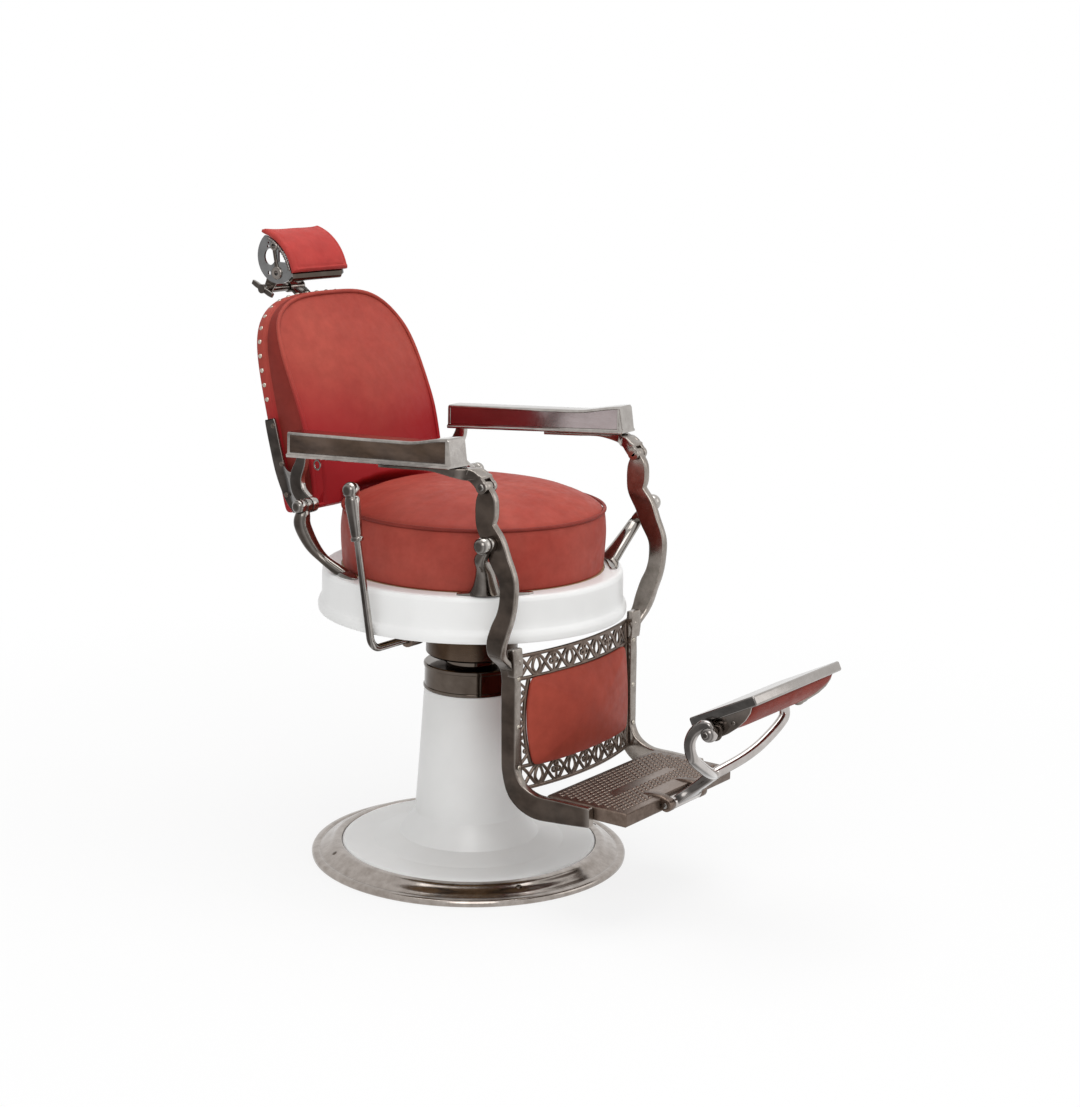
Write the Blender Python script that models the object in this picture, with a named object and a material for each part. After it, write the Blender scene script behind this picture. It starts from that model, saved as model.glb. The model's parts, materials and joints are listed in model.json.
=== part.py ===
"""Hydraulic barber chair: separate pieces, at real size in metres.

The origin is on the floor under the column's axis. +Z is up, the sitter faces -Y, and the sitter's right
hand, with the pump lever, is at -X. The arms, the leg irons, the back irons and the seat form a parallel
linkage on each side, so the legs swing up and the arms stay level as the back goes down.
"""
import bpy
import bmesh
from math import atan2, cos, hypot, pi, radians, sin, sqrt
from mathutils import Matrix, Vector

# Clearances
GAP = 0.0003                # between pieces that seat on each other
BORE_PLAY = 0.0006          # added to the radius of a bore round its pin

# Base, column and lift
BASE_RADIUS = 0.305
BASE_EDGE = 0.0075          # height of the outer lip
ENAMEL_INSET = 0.0585       # white foot's edge inside the base ring's
ENAMEL_RADIUS = BASE_RADIUS - ENAMEL_INSET
ENAMEL_EDGE = 0.029         # its height above the floor
FOOT_THROAT = 0.105         # column radius just above the flare
FLARE_HEIGHT = 0.100
SHELL_WALL = 0.008
COLUMN_TOP_RADIUS = 0.0905
COLUMN_HEIGHT = 0.3345
COLLAR_HEIGHT = 0.050
COLLAR_LIP = 0.0015         # collar stands out past the column by this
CYLINDER_WALL = 0.011
RAM_RADIUS = 0.050
RAM_SHOW = 0.0155           # ram left showing under the hub
CYLINDER_FLOOR = 0.014
RAM_CLEAR = 0.046           # ram's foot above the cylinder's floor, with the lift down
SPIGOT_RADIUS = 0.030
SPIGOT_HEIGHT = 0.070

# Seat
HUB_RADIUS = 0.088
HUB_HEIGHT = 0.1465         # hub foot to the top of the spider's arms
SPIDER_ARM_DEPTH = 0.032
SPIDER_ARM_WIDTH = 0.046
BOARD_EDGE = 0.020
RING_RADIUS = 0.2935        # widest part, the bottom flange
RING_DRAFT = 0.0075         # side wall stands in from the flange by this
RING_HEIGHT = 0.085
RING_TOP_THICK = 0.0078
RING_WALL = 0.0095
CUSHION_INSET = 0.045       # cushion's side inside the ring's edge
CUSHION_RADIUS = RING_RADIUS - CUSHION_INSET
CUSHION_SIDE = 0.113        # base to the welt
CUSHION_CROWN = 0.047
WELT = 0.0035               # radius of the piped seam

# Linkage pivots, on both sides
IRON_INSET = 0.0535         # irons inside the seat ring's edge
IRON_X = RING_RADIUS - IRON_INSET  # middle of the irons at the pivots
IRON_THICK = 0.0155
STAND_THICK = 0.0135
LEG_PIVOT_RISE = 0.108      # above the seat ring
LEG_PIVOT_STANDOFF = 0.0465  # ahead of the seat ring's edge at the irons
BACK_PIVOT_RISE = 0.1228
BACK_PIVOT_INSET = 0.0955   # ahead of the seat ring's rear edge
LINK_RISE = 0.0982          # upper pivots above the lower ones
LINK_SET = 0.0176           # and behind them
LINK_WIDTH = 0.026
PIN_RADIUS = 0.0050
EYE_RADIUS = 0.0120
BALL_RADIUS = 0.0125

# Pump lever
LEVER_CLEAR = 0.0085        # lever stands outside the seat ring by this
LEVER_X = RING_RADIUS + LEVER_CLEAR
LEVER_Y = -0.003
LEVER_DROP = 0.024          # shaft's middle under the seat ring
LEVER_ROD_RADIUS = 0.0072
LEVER_LENGTH = 0.290        # shaft to the middle of the knob
LEVER_LEAN = radians(10.0)
LEVER_BEND = 0.022
LEVER_SHAFT_LAP = 0.042     # shaft's inner end past the bearing
BEARING_INSET = 0.1075      # middle of the shaft's bearing inside the seat ring's edge
BEARING_X = RING_RADIUS - BEARING_INSET
BEARING_WIDTH = 0.028
GRIP_LENGTH = 0.092
KNOB_RADIUS = 0.0155

# Back
BACK_TILT = radians(14.5)
BACK_FOOT_BEHIND = 0.094    # back's rear face behind its pivot, at the foot line
BACK_FOOT_RISE = 0.1148     # above the seat ring
BACK_INSET = 0.040          # back's sides inside the irons
BACK_HALF = IRON_X - BACK_INSET
BACK_HEIGHT = 0.386
BACK_ROUND = 0.190          # height of the rounded top
BACK_SHOULDER = BACK_HEIGHT - BACK_ROUND
BACK_CORNER_DROP = 0.028    # lower corners under the foot line
BACK_EDGE_THICK = 0.0025    # stuffing left at the lower edge where the back is bevelled
RECLINE = radians(40.0)     # travel of the back
RECLINE_CLEAR = 0.0015      # left between the back and the seat cushion when the back is down
BACK_THICK_LOW = 0.068
BACK_THICK_TOP = 0.032
BACK_CROWN = 0.020
BOARD_THICK = 0.018
REAR_PANEL_THICK = 0.0125
STRAP_THICK = 0.007         # back iron's strap on the side of the back

# Arms
ARM_REAR = 0.0208           # behind the rear arm pivot
ARM_SETBACK = 0.0457        # front end behind the front arm pivot
ARM_SPLAY = radians(4.0)
ARM_WIDTH = 0.045
ARM_FLANGE = 0.0035         # bottom flange stands out by this
ARM_FLANGE_THICK = 0.0045
ARM_TOP = 0.0358            # rear end's top above the rear arm pivot
ARM_BOTTOM = -0.0112
ARM_RISE = 0.0275           # underside's rise to the front
ARM_NOSE = 0.010            # front end's extra rise
ARM_WALL = 0.004
BRACKET_WIDTH = 0.034

# Legs and foot platform
LEG_STEP = 0.0535           # irons step inwards by this above the panel
LEG_HALF = IRON_X - LEG_STEP  # middle of the irons beside the panel
LEG_DROP = 0.4587           # leg pivot to the platform's top
IRON_WIDTH = 0.032          # irons seen from the side, where they are straight
IRON_BOW = 0.0352           # irons' greatest reach ahead of the leg pivot, above the panel
IRON_TOE = 0.100            # irons' reach under the platform
PANEL_HEIGHT = 0.2515
PANEL_THICK = 0.006
PANEL_BOW = 0.025
PANEL_SET = 0.0072          # panel's top ahead of the leg pivot, at its sides
PANEL_LEAN = 0.0135         # and its foot ahead of its top
PANEL_BAND = 0.048          # height of an openwork band
PANEL_STRIP = 0.0315        # width of the side strips at their ends
PANEL_BARREL = 0.0127       # the opening's sides bow out by this
PANEL_RAIL = 0.007
WAVES = 4                   # periods of the scroll in a band
STRIP_WAVES = 3             # and in a side strip
PAD_LAP = 0.004             # leg pad's lap over its opening
PAD_CROWN = 0.020
PLATFORM_BACK = 0.083       # behind edge, ahead of the leg pivot
PLATFORM_DEPTH = 0.170
PLATFORM_RIM = 0.025
PLATFORM_SKIN = 0.008

# Foot yoke and foot pad
YOKE_PIN_AHEAD = 0.0075     # ahead of the platform's edge
YOKE_PIN_DROP = 0.0125      # under the platform's top
KNUCKLE_RADIUS = 0.0115
KNUCKLE_HALF = 0.044        # yoke eye's half width
LUG_WIDTH = 0.018
YOKE_TUBE = 0.0092
YOKE_REACH = 0.1435         # pin to ball joints, forward
YOKE_RISE = 0.1845          # and up
FOOT_PAD_TILT = radians(26.5)
FOOT_PAD_INSET = 0.0349     # tray's sides inside the leg irons
FOOT_PAD_HALF = LEG_HALF - FOOT_PAD_INSET
YOKE_HALF = FOOT_PAD_HALF + YOKE_TUBE + 0.002  # yoke's arms pass outside the tray
YOKE_BALL = 0.0135
FOOT_PAD_LENGTH = 0.140
FOOT_PAD_RIM = 0.018
FOOT_PAD_SKIN = 0.004
FOOT_PAD_WALL = 0.0080
FOOT_PAD_BEHIND = 0.0485    # tray's rear edge behind the ball joints
FOOT_PAD_ABOVE = 0.0165     # and above them
FOOT_PAD_STUFFING = 0.046
CHEEK_THICK = 0.0047

# Headrest
HEAD_BAR_WIDTH = 0.042
HEAD_BAR_THICK = 0.008
HEAD_BAR_BEHIND = 0.0185    # bar's front face behind the back's rear face
HEAD_BAR_LENGTH = 0.250
HEAD_HINGE_CLEAR = 0.021    # hinge above the back's top, along the back
HEAD_HINGE_UP = BACK_HEIGHT + HEAD_HINGE_CLEAR
SOCKET_DROP = 0.060         # socket's top under the back's top
SOCKET_HEIGHT = 0.045
HEAD_HINGE_BEHIND = 0.061   # and behind the back's rear face
HEAD_HALF = 0.0765          # outside of the side plates
HEAD_PLATE = 0.004
HEAD_PLATE_RADIUS = 0.0515
HEAD_PLATE_Y = -0.0255      # plate's middle from the hinge
HEAD_PLATE_Z = 0.0625
HEAD_PAD_HALF = 0.0785
HEAD_PAD_THICK = 0.014
HEAD_PAD_RADIUS = 0.108     # outside of the curved pad
HEAD_PAD_CENTRE_Y = 0.0302  # middle of that curve from the hinge
HEAD_PAD_CENTRE_Z = 0.0121
HEAD_PAD_START = radians(104.0)
HEAD_PAD_END = radians(167.0)
HEAD_ROD_RADIUS = 0.006
CLAMP_WING = 0.028

# Facets
TURN_STEPS = 36
CORE_STEPS = 24             # pieces inside the column
EYE_STEPS = 16
RING_STEPS = 48             # seat ring and its board
PIN_STEPS = 12


# Worked out from the sizes above
cylinder_radius = RAM_RADIUS + GAP + CYLINDER_WALL
collar_base = COLUMN_HEIGHT + GAP
collar_top = collar_base + COLLAR_HEIGHT
hub_base = collar_top + RAM_SHOW
spider_top = hub_base + HUB_HEIGHT
ring_top = spider_top + GAP + BOARD_EDGE + GAP + RING_TOP_THICK
ring_bottom = ring_top - RING_HEIGHT
cushion_base = ring_top + GAP
welt_z = cushion_base + CUSHION_SIDE

iron_in = IRON_X - IRON_THICK / 2
iron_out = IRON_X + IRON_THICK / 2
stand_in = iron_out + GAP
stand_out = stand_in + STAND_THICK
ring_front = -sqrt(RING_RADIUS ** 2 - iron_in ** 2)  # seat ring's edge at the irons
LEG_PIVOT = Vector((0, ring_front - LEG_PIVOT_STANDOFF, ring_top + LEG_PIVOT_RISE))
BACK_PIVOT = Vector((0, RING_RADIUS - BACK_PIVOT_INSET, ring_top + BACK_PIVOT_RISE))
LINK = Vector((0, LINK_SET, LINK_RISE))
ARM_FRONT_PIVOT = LEG_PIVOT + LINK
ARM_REAR_PIVOT = BACK_PIVOT + LINK
arm_length = ARM_REAR_PIVOT.y + ARM_REAR - ARM_FRONT_PIVOT.y - ARM_SETBACK
pin_half = ARM_WIDTH / 2 - ARM_WALL + 0.001  # rear arm pins reach into the arm's walls
LEVER_PIVOT = Vector((0, LEVER_Y, ring_bottom - LEVER_DROP))

back_up = Vector((0, sin(BACK_TILT), cos(BACK_TILT)))
back_ahead = Vector((0, -cos(BACK_TILT), sin(BACK_TILT)))
BACK_FOOT = Vector((0, BACK_PIVOT.y + BACK_FOOT_BEHIND, ring_top + BACK_FOOT_RISE))

foot_down = BACK_PIVOT + Matrix.Rotation(-RECLINE, 3, "X") @ (BACK_FOOT - BACK_PIVOT)
slope_down = BACK_TILT + RECLINE

platform_top = LEG_PIVOT.z - LEG_DROP
platform_rear = LEG_PIVOT.y - PLATFORM_BACK
platform_front = platform_rear - PLATFORM_DEPTH
leg_in = LEG_HALF - IRON_THICK / 2
panel_half = leg_in - GAP
panel_foot = platform_top - 0.006
YOKE_PIVOT = Vector((0, platform_front - YOKE_PIN_AHEAD, platform_top - YOKE_PIN_DROP))
PAD_PIVOT = YOKE_PIVOT + Vector((0, -YOKE_REACH, YOKE_RISE))
pad_ahead = Vector((0, -cos(FOOT_PAD_TILT), sin(FOOT_PAD_TILT)))
pad_over = Vector((0, sin(FOOT_PAD_TILT), cos(FOOT_PAD_TILT)))
PAD_REAR = PAD_PIVOT + Vector((0, FOOT_PAD_BEHIND, FOOT_PAD_ABOVE))
HEAD_HINGE = BACK_FOOT + back_up * HEAD_HINGE_UP - back_ahead * HEAD_HINGE_BEHIND
HEAD_PAD_CENTRE = HEAD_HINGE + Vector((0, HEAD_PAD_CENTRE_Y, HEAD_PAD_CENTRE_Z))


# Scene and materials
for old in list(bpy.data.objects):
    bpy.data.objects.remove(old, do_unlink=True)


def material(name, colour, roughness, metallic):
    made = bpy.data.materials.new(name)
    made.use_nodes = True
    shader = made.node_tree.nodes["Principled BSDF"]
    shader.inputs["Base Color"].default_value = (*colour, 1.0)
    shader.inputs["Roughness"].default_value = roughness
    shader.inputs["Metallic"].default_value = metallic
    made.diffuse_color = (*colour, 1.0)
    return made


ENAMEL = material("white_enamel", (0.80, 0.80, 0.79), 0.18, 0.0)
NICKEL = material("polished_nickel", (0.62, 0.60, 0.57), 0.16, 1.0)
IRON = material("worn_nickel_iron", (0.30, 0.28, 0.26), 0.34, 1.0)
CAST = material("brown_cast_iron", (0.16, 0.12, 0.10), 0.50, 1.0)
STEEL = material("bright_steel", (0.55, 0.55, 0.56), 0.25, 1.0)
BRONZE = material("dark_bronze", (0.14, 0.10, 0.06), 0.40, 1.0)
LEATHER = material("red_leather", (0.42, 0.06, 0.05), 0.45, 0.0)
RUBBER = material("seal_rubber", (0.03, 0.03, 0.03), 0.70, 0.0)
WOOD = material("ash_wood", (0.40, 0.26, 0.14), 0.60, 0.0)


# Joint frames: one empty on each joint, nested as the bodies are
def joint_frame(name, place, parent=None):
    frame = bpy.data.objects.new(name, None)
    bpy.context.scene.collection.objects.link(frame)
    frame.parent = parent
    frame["place"] = tuple(place)
    frame.location = Vector(place) - (Vector(parent["place"]) if parent else Vector((0, 0, 0)))
    return frame


BASE = joint_frame("base_frame", (0, 0, 0))
RAM = joint_frame("ram_frame", (0, 0, hub_base), BASE)
SEAT = joint_frame("seat_frame", (0, 0, hub_base), RAM)
LEVER = joint_frame("lever_frame", LEVER_PIVOT, SEAT)
BACK = joint_frame("back_frame", BACK_PIVOT, SEAT)
ARM = {side: joint_frame("arm_frame_" + side, ARM_REAR_PIVOT, BACK) for side in ("right", "left")}
LEGS = joint_frame("leg_frame", LEG_PIVOT, SEAT)
YOKE = joint_frame("yoke_frame", YOKE_PIVOT, LEGS)
FOOT = joint_frame("foot_pad_frame", PAD_PIVOT, YOKE)
HEAD_BAR = joint_frame("headrest_bar_frame", HEAD_HINGE, BACK)
HEAD = joint_frame("headrest_frame", HEAD_HINGE, HEAD_BAR)
CLAMP = joint_frame("clamp_frame", HEAD_HINGE, HEAD)


# Modelling helpers: each returns a closed bmesh in world coordinates
def add_faces(bm, rings, closed_along=False):
    """Skin a list of equal rings of vertices; cap the ends unless the rings close on themselves."""
    pairs = list(zip(rings, rings[1:]))
    if closed_along:
        pairs.append((rings[-1], rings[0]))
    for lower, upper in pairs:
        for k in range(len(lower)):
            n = (k + 1) % len(lower)
            bm.faces.new((lower[k], lower[n], upper[n], upper[k]))
    if not closed_along:
        bm.faces.new(list(reversed(rings[0])))
        bm.faces.new(rings[-1])
    bmesh.ops.recalc_face_normals(bm, faces=bm.faces)
    return bm


def loft(rings, closed_along=False):
    bm = bmesh.new()
    return add_faces(bm, [[bm.verts.new(p) for p in ring] for ring in rings], closed_along)


def turned(outline, steps=TURN_STEPS):
    """Ring or hollow body turned about Z from a closed outline of (radius, height)."""
    angles = [2 * pi * k / steps for k in range(steps)]
    return loft([[(r * cos(a), r * sin(a), z) for r, z in outline] for a in angles], closed_along=True)


def turned_solid(outline, steps=TURN_STEPS):
    """Solid turned about Z from an open outline of (radius, height), closed by flat ends."""
    angles = [2 * pi * k / steps for k in range(steps)]
    return loft([[(r * cos(a), r * sin(a), z) for a in angles] for r, z in outline])


def along_x(bm, centre):
    """Turn a body made about Z so that its axis lies along X through a point; its height becomes X."""
    bm.transform(Matrix.Translation(centre) @ Matrix.Rotation(pi / 2, 4, "Y"))
    return bm


def cross_pin(x0, x1, radius, centre, steps=PIN_STEPS):
    return along_x(turned_solid([(radius, x0), (radius, x1)], steps), Vector((0, centre.y, centre.z)))


def pin_hole(x0, x1, centre):
    """Cutter for a pin's bore, reaching past both faces of a piece."""
    return cross_pin(x0 - 0.01, x1 + 0.01, PIN_RADIUS + BORE_PLAY, centre)


def prism(outline, x0, x1):
    """Flat plate: an outline of (y, z) between two planes across X."""
    return loft([[(x, y, z) for y, z in outline] for x in (x0, x1)])


def block(low, high):
    (x0, y0, z0), (x1, y1, z1) = low, high
    return prism([(y0, z0), (y1, z0), (y1, z1), (y0, z1)], x0, x1)


def bevelled(bm, width, segments=1):
    sharp = [e for e in bm.edges if len(e.link_faces) == 2 and e.calc_face_angle() > radians(40)]
    bmesh.ops.bevel(bm, geom=sharp, offset=width, segments=segments, profile=0.5, affect="EDGES",
                    clamp_overlap=True)
    return bm


def curve_through(knots, per_span):
    """Points on a smooth curve through the knots, which may have any number of columns."""
    start = tuple(2 * a - b for a, b in zip(knots[0], knots[1]))
    end = tuple(2 * a - b for a, b in zip(knots[-1], knots[-2]))
    around = [start, *knots, end]
    points = []
    for i in range(1, len(around) - 2):
        for k in range(per_span):
            t = k / per_span
            points.append(tuple(
                b + 0.5 * t * ((c - a) + t * ((2 * a - 5 * b + 4 * c - d) + t * (3 * b - a - 3 * c + d)))
                for a, b, c, d in zip(*around[i - 1:i + 3])))
    points.append(tuple(knots[-1]))
    return points


def flat_bar(knots, per_span=3, chamfer=0.0028):
    """Forged bar in an upright plane, from knots of (x, y, z, width, thickness across X)."""
    stations = curve_through(knots, per_span)
    rings = []
    for i, (x, y, z, width, thick) in enumerate(stations):
        before = stations[max(i - 1, 0)]
        after = stations[min(i + 1, len(stations) - 1)]
        run = Vector((0, after[1] - before[1], after[2] - before[2])).normalized()
        side = Vector((0, -run.z, run.y))
        w, t = width / 2, thick / 2
        corner = min(chamfer, 0.4 * t)
        section = [(w, t - corner), (w - corner, t), (corner - w, t), (-w, t - corner),
                   (-w, corner - t), (corner - w, -t), (w - corner, -t), (w, corner - t)]
        rings.append([Vector((x + b, y, z)) + side * a for a, b in section])
    return loft(rings)


def tube(points, radii, sides=10):
    """Round rod along points, with a radius at each point."""
    rings = []
    across = None
    angles = [2 * pi * k / sides for k in range(sides)]
    for i, point in enumerate(points):
        run = (Vector(points[min(i + 1, len(points) - 1)]) - Vector(points[max(i - 1, 0)])).normalized()
        if across is None:
            across = run.orthogonal().normalized()
        across = (across - run * across.dot(run)).normalized()
        third = run.cross(across)
        rings.append([Vector(point) + radii[i] * (across * cos(a) + third * sin(a)) for a in angles])
    return loft(rings)


def slab(front, back, columns, rows):
    """Closed sheet between two grids: front(u, v) and back(u, v) give points, u and v from 0 to 1."""
    bm = bmesh.new()
    grids = []
    for surface in (front, back):
        grids.append([[bm.verts.new(surface(i / columns, j / rows)) for i in range(columns + 1)]
                      for j in range(rows + 1)])
    for grid in grids:
        for j in range(rows):
            for i in range(columns):
                bm.faces.new((grid[j][i], grid[j][i + 1], grid[j + 1][i + 1], grid[j + 1][i]))
    rim = [(j, 0) for j in range(rows)] + [(rows, i) for i in range(columns)]
    rim += [(j, columns) for j in range(rows, 0, -1)] + [(0, i) for i in range(columns, 0, -1)]
    for k, (j, i) in enumerate(rim):
        nj, ni = rim[(k + 1) % len(rim)]
        bm.faces.new((grids[0][j][i], grids[0][nj][ni], grids[1][nj][ni], grids[1][j][i]))
    bmesh.ops.recalc_face_normals(bm, faces=bm.faces)
    return bm


def to_object(name, bm):
    mesh = bpy.data.meshes.new(name)
    bm.to_mesh(mesh)
    bm.free()
    made = bpy.data.objects.new(name, mesh)
    bpy.context.scene.collection.objects.link(made)
    return made


def boolean(body, tools, operation, self_crossing=False):
    """Exact Boolean of closed bodies, one tool after another."""
    result = to_object("boolean_body", body)
    scratch = [result]
    for tool in tools:
        cutter = to_object("boolean_tool", tool)
        scratch.append(cutter)
        step = result.modifiers.new("step", "BOOLEAN")
        step.operation = operation
        step.object = cutter
        step.solver = "EXACT"
        step.use_self = self_crossing
    bpy.context.view_layer.update()
    seen = result.evaluated_get(bpy.context.evaluated_depsgraph_get())
    bm = bmesh.new()
    bm.from_mesh(seen.to_mesh())
    seen.to_mesh_clear()
    for piece in scratch:
        bpy.data.objects.remove(piece, do_unlink=True)
    bmesh.ops.remove_doubles(bm, verts=bm.verts, dist=0.000002)
    bmesh.ops.dissolve_degenerate(bm, edges=bm.edges, dist=0.000002)
    bmesh.ops.holes_fill(bm, edges=[e for e in bm.edges if e.is_boundary], sides=4)
    return bm


def fused(body, *tools):
    return boolean(body, tools, "UNION")


def cut(body, *tools):
    return boolean(body, tools, "DIFFERENCE")


def mirrored(bm):
    other = bm.copy()
    bmesh.ops.scale(other, vec=(-1, 1, 1), verts=other.verts)
    bmesh.ops.reverse_faces(other, faces=other.faces)
    return other


def finish(name, bm, look, frame, sharp=35):
    """Make a named piece whose origin is on its body's joint."""
    place = Vector(frame["place"])
    bmesh.ops.translate(bm, verts=bm.verts, vec=-place)
    made = to_object(name, bm)
    made.parent = frame
    made.data.materials.append(look)
    made.data.shade_smooth()
    made.data.set_sharp_from_angle(angle=radians(sharp))
    return made


def finish_pair(name, bm, look, frames, sharp=35):
    """Make the left piece at +X as modelled and the right one as its mirror image."""
    right, left = (frames["right"], frames["left"]) if isinstance(frames, dict) else (frames, frames)
    finish(name + "_right", mirrored(bm), look, right, sharp)
    finish(name + "_left", bm, look, left, sharp)


# Base and lift
def make_base():
    ledge = ENAMEL_EDGE - 0.014
    inner = ENAMEL_RADIUS + GAP
    finish("base_ring", turned([
        (BASE_RADIUS, 0), (BASE_RADIUS, BASE_EDGE), (BASE_RADIUS - 0.0035, BASE_EDGE + 0.0042),
        (BASE_RADIUS - 0.014, BASE_EDGE + 0.0065), (BASE_RADIUS - 0.022, BASE_EDGE + 0.0075),
        (inner + 0.024, BASE_EDGE + 0.0125), (inner + 0.010, ENAMEL_EDGE - 0.0005),
        (inner, ENAMEL_EDGE), (inner, ledge), (inner - 0.022, ledge), (inner - 0.022, 0.004),
        (BASE_RADIUS - 0.030, 0.004), (BASE_RADIUS - 0.024, 0)]), NICKEL, BASE)

    # White shell: a flat foot, a tight flare and a tapering column, with the same wall inside
    foot = ledge + GAP
    throat_rise = FLARE_HEIGHT - ENAMEL_EDGE
    outside = [(ENAMEL_RADIUS, foot), (ENAMEL_RADIUS, ENAMEL_EDGE - 0.0015),
               (ENAMEL_RADIUS - 0.005, ENAMEL_EDGE + 0.002)]
    span = ENAMEL_RADIUS - 0.005 - FOOT_THROAT
    for k in range(1, 9):
        share = k / 8
        outside.append((ENAMEL_RADIUS - 0.005 - span * (1 - (1 - share) ** 2.2),
                        ENAMEL_EDGE + 0.002 + (throat_rise - 0.002) * share ** 3.2))
    outside += [(FOOT_THROAT - (FOOT_THROAT - COLUMN_TOP_RADIUS) * share ** 0.9,
                 FLARE_HEIGHT + (COLUMN_HEIGHT - FLARE_HEIGHT) * share) for share in (0.15, 0.4, 0.7, 1.0)]
    inside = [(r - SHELL_WALL, max(z - SHELL_WALL * 0.8, foot)) for r, z in outside[2:-1:3]]
    inside.append((COLUMN_TOP_RADIUS - SHELL_WALL, COLUMN_HEIGHT))
    finish("base_column", turned(outside + inside[::-1]), ENAMEL, BASE)

    # Pump cylinder: bolted flange on the floor, bore closed at the bottom
    bore = RAM_RADIUS + GAP
    finish("pump_cylinder", cut(
        turned_solid([(cylinder_radius + 0.025, 0), (cylinder_radius + 0.025, 0.010),
                      (cylinder_radius, CYLINDER_FLOOR), (cylinder_radius, COLUMN_HEIGHT)], CORE_STEPS),
        turned_solid([(bore, CYLINDER_FLOOR), (bore, COLUMN_HEIGHT + 0.01)], CORE_STEPS)), CAST, BASE)

    bush_out = RAM_RADIUS + GAP + 0.008
    lip = COLUMN_TOP_RADIUS + COLLAR_LIP
    finish("gland_collar", turned([
        (lip, collar_base), (lip + 0.0006, collar_base + 0.004), (lip - 0.0008, collar_base + 0.008),
        (lip - 0.0015, collar_top - 0.008), (lip, collar_top - 0.005), (lip - 0.001, collar_top - 0.001),
        (lip - 0.003, collar_top), (RAM_RADIUS + 0.002, collar_top), (RAM_RADIUS + 0.002, collar_top - 0.006),
        (bush_out + GAP, collar_top - 0.006), (bush_out + GAP, collar_base)]), NICKEL, BASE)
    finish("guide_bush", turned([
        (bush_out, collar_base + GAP), (bush_out, collar_top - 0.006 - GAP),
        (bore, collar_top - 0.006 - GAP), (bore, collar_base + GAP)], CORE_STEPS), BRONZE, BASE)

    ram_foot = CYLINDER_FLOOR + RAM_CLEAR
    finish("lift_ram", turned_solid([
        (RAM_RADIUS, ram_foot), (RAM_RADIUS, hub_base - GAP), (SPIGOT_RADIUS, hub_base - GAP),
        (SPIGOT_RADIUS, hub_base + SPIGOT_HEIGHT - 0.003),
        (SPIGOT_RADIUS - 0.003, hub_base + SPIGOT_HEIGHT)], CORE_STEPS), STEEL, RAM)
    finish("cup_seal", turned([
        (RAM_RADIUS, ram_foot - GAP), (RAM_RADIUS, ram_foot - 0.016), (RAM_RADIUS - 0.004, ram_foot - 0.016),
        (RAM_RADIUS - 0.005, ram_foot - 0.006), (0.008, ram_foot - 0.006), (0.008, ram_foot - GAP)],
        CORE_STEPS), RUBBER, RAM)


# Seat
def make_seat():
    wall_in = RING_RADIUS - RING_DRAFT - RING_WALL
    arm_foot = spider_top - SPIDER_ARM_DEPTH
    arm_end = wall_in - 0.004
    hub = turned_solid([
        (HUB_RADIUS - 0.004, hub_base), (HUB_RADIUS, hub_base + 0.004), (HUB_RADIUS, hub_base + 0.055),
        (HUB_RADIUS - 0.012, hub_base + 0.068), (HUB_RADIUS - 0.022, arm_foot),
        (HUB_RADIUS - 0.022, spider_top - 0.002)])
    arms = []
    half = SPIDER_ARM_WIDTH / 2
    for quarter in range(2):
        arm = block((-arm_end, -half, arm_foot), (arm_end, half, spider_top))
        arm.transform(Matrix.Rotation(quarter * pi / 2, 4, "Z"))
        arms.append(arm)
    socket = SPIGOT_RADIUS + BORE_PLAY
    bore = turned_solid([(socket, hub_base - 0.01), (socket, hub_base + SPIGOT_HEIGHT + 0.004)], CORE_STEPS)
    finish("seat_spider", cut(fused(hub, *arms), bore), BRONZE, SEAT)

    side = RING_RADIUS - RING_DRAFT
    flange_in = CUSHION_RADIUS + 0.0015
    under = ring_top - RING_TOP_THICK
    finish("seat_ring", turned([
        (RING_RADIUS - 0.003, ring_bottom), (RING_RADIUS - 0.0005, ring_bottom + 0.004),
        (RING_RADIUS, ring_bottom + 0.012), (RING_RADIUS - 0.0018, ring_bottom + 0.0195),
        (side + 0.0010, ring_bottom + 0.0255), (side, ring_bottom + 0.034), (side - 0.0004, ring_top - 0.012),
        (side - 0.0022, ring_top - 0.004), (side - 0.0065, ring_top), (flange_in, ring_top),
        (flange_in, under), (wall_in, under), (wall_in, ring_bottom + 0.030),
        (RING_RADIUS - RING_WALL, ring_bottom + 0.010),
        (RING_RADIUS - RING_WALL, ring_bottom)], RING_STEPS), ENAMEL, SEAT)
    finish("seat_board", turned_solid([
        (wall_in - 0.001, spider_top + GAP), (wall_in - 0.001, under - GAP),
        (flange_in - GAP, under - GAP), (flange_in - GAP, ring_top)], RING_STEPS), WOOD, SEAT)

    # Round cushion: box side that swells a little, a piped welt and a crowned top
    r = CUSHION_RADIUS
    outline = [(r - 0.006, cushion_base), (r - 0.001, cushion_base + 0.004)]
    for k in range(1, 6):
        outline.append((r + 0.0022 * sin(pi * k / 5), cushion_base + 0.004 + (CUSHION_SIDE - 0.011) * k / 5))
    outline += [(r + WELT * 0.8, welt_z - WELT), (r + WELT, welt_z), (r + WELT * 0.2, welt_z + WELT),
                (r - WELT, welt_z + 0.002)]
    for k in range(1, 8):
        share = 1 - k / 8
        outline.append(((r - WELT) * share, welt_z + 0.002 + CUSHION_CROWN * (1 - share ** 2.3)))
    finish("seat_cushion", turned_solid(outline), LEATHER, SEAT)

    make_stands()
    make_lever_bearing(arm_foot)


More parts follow.
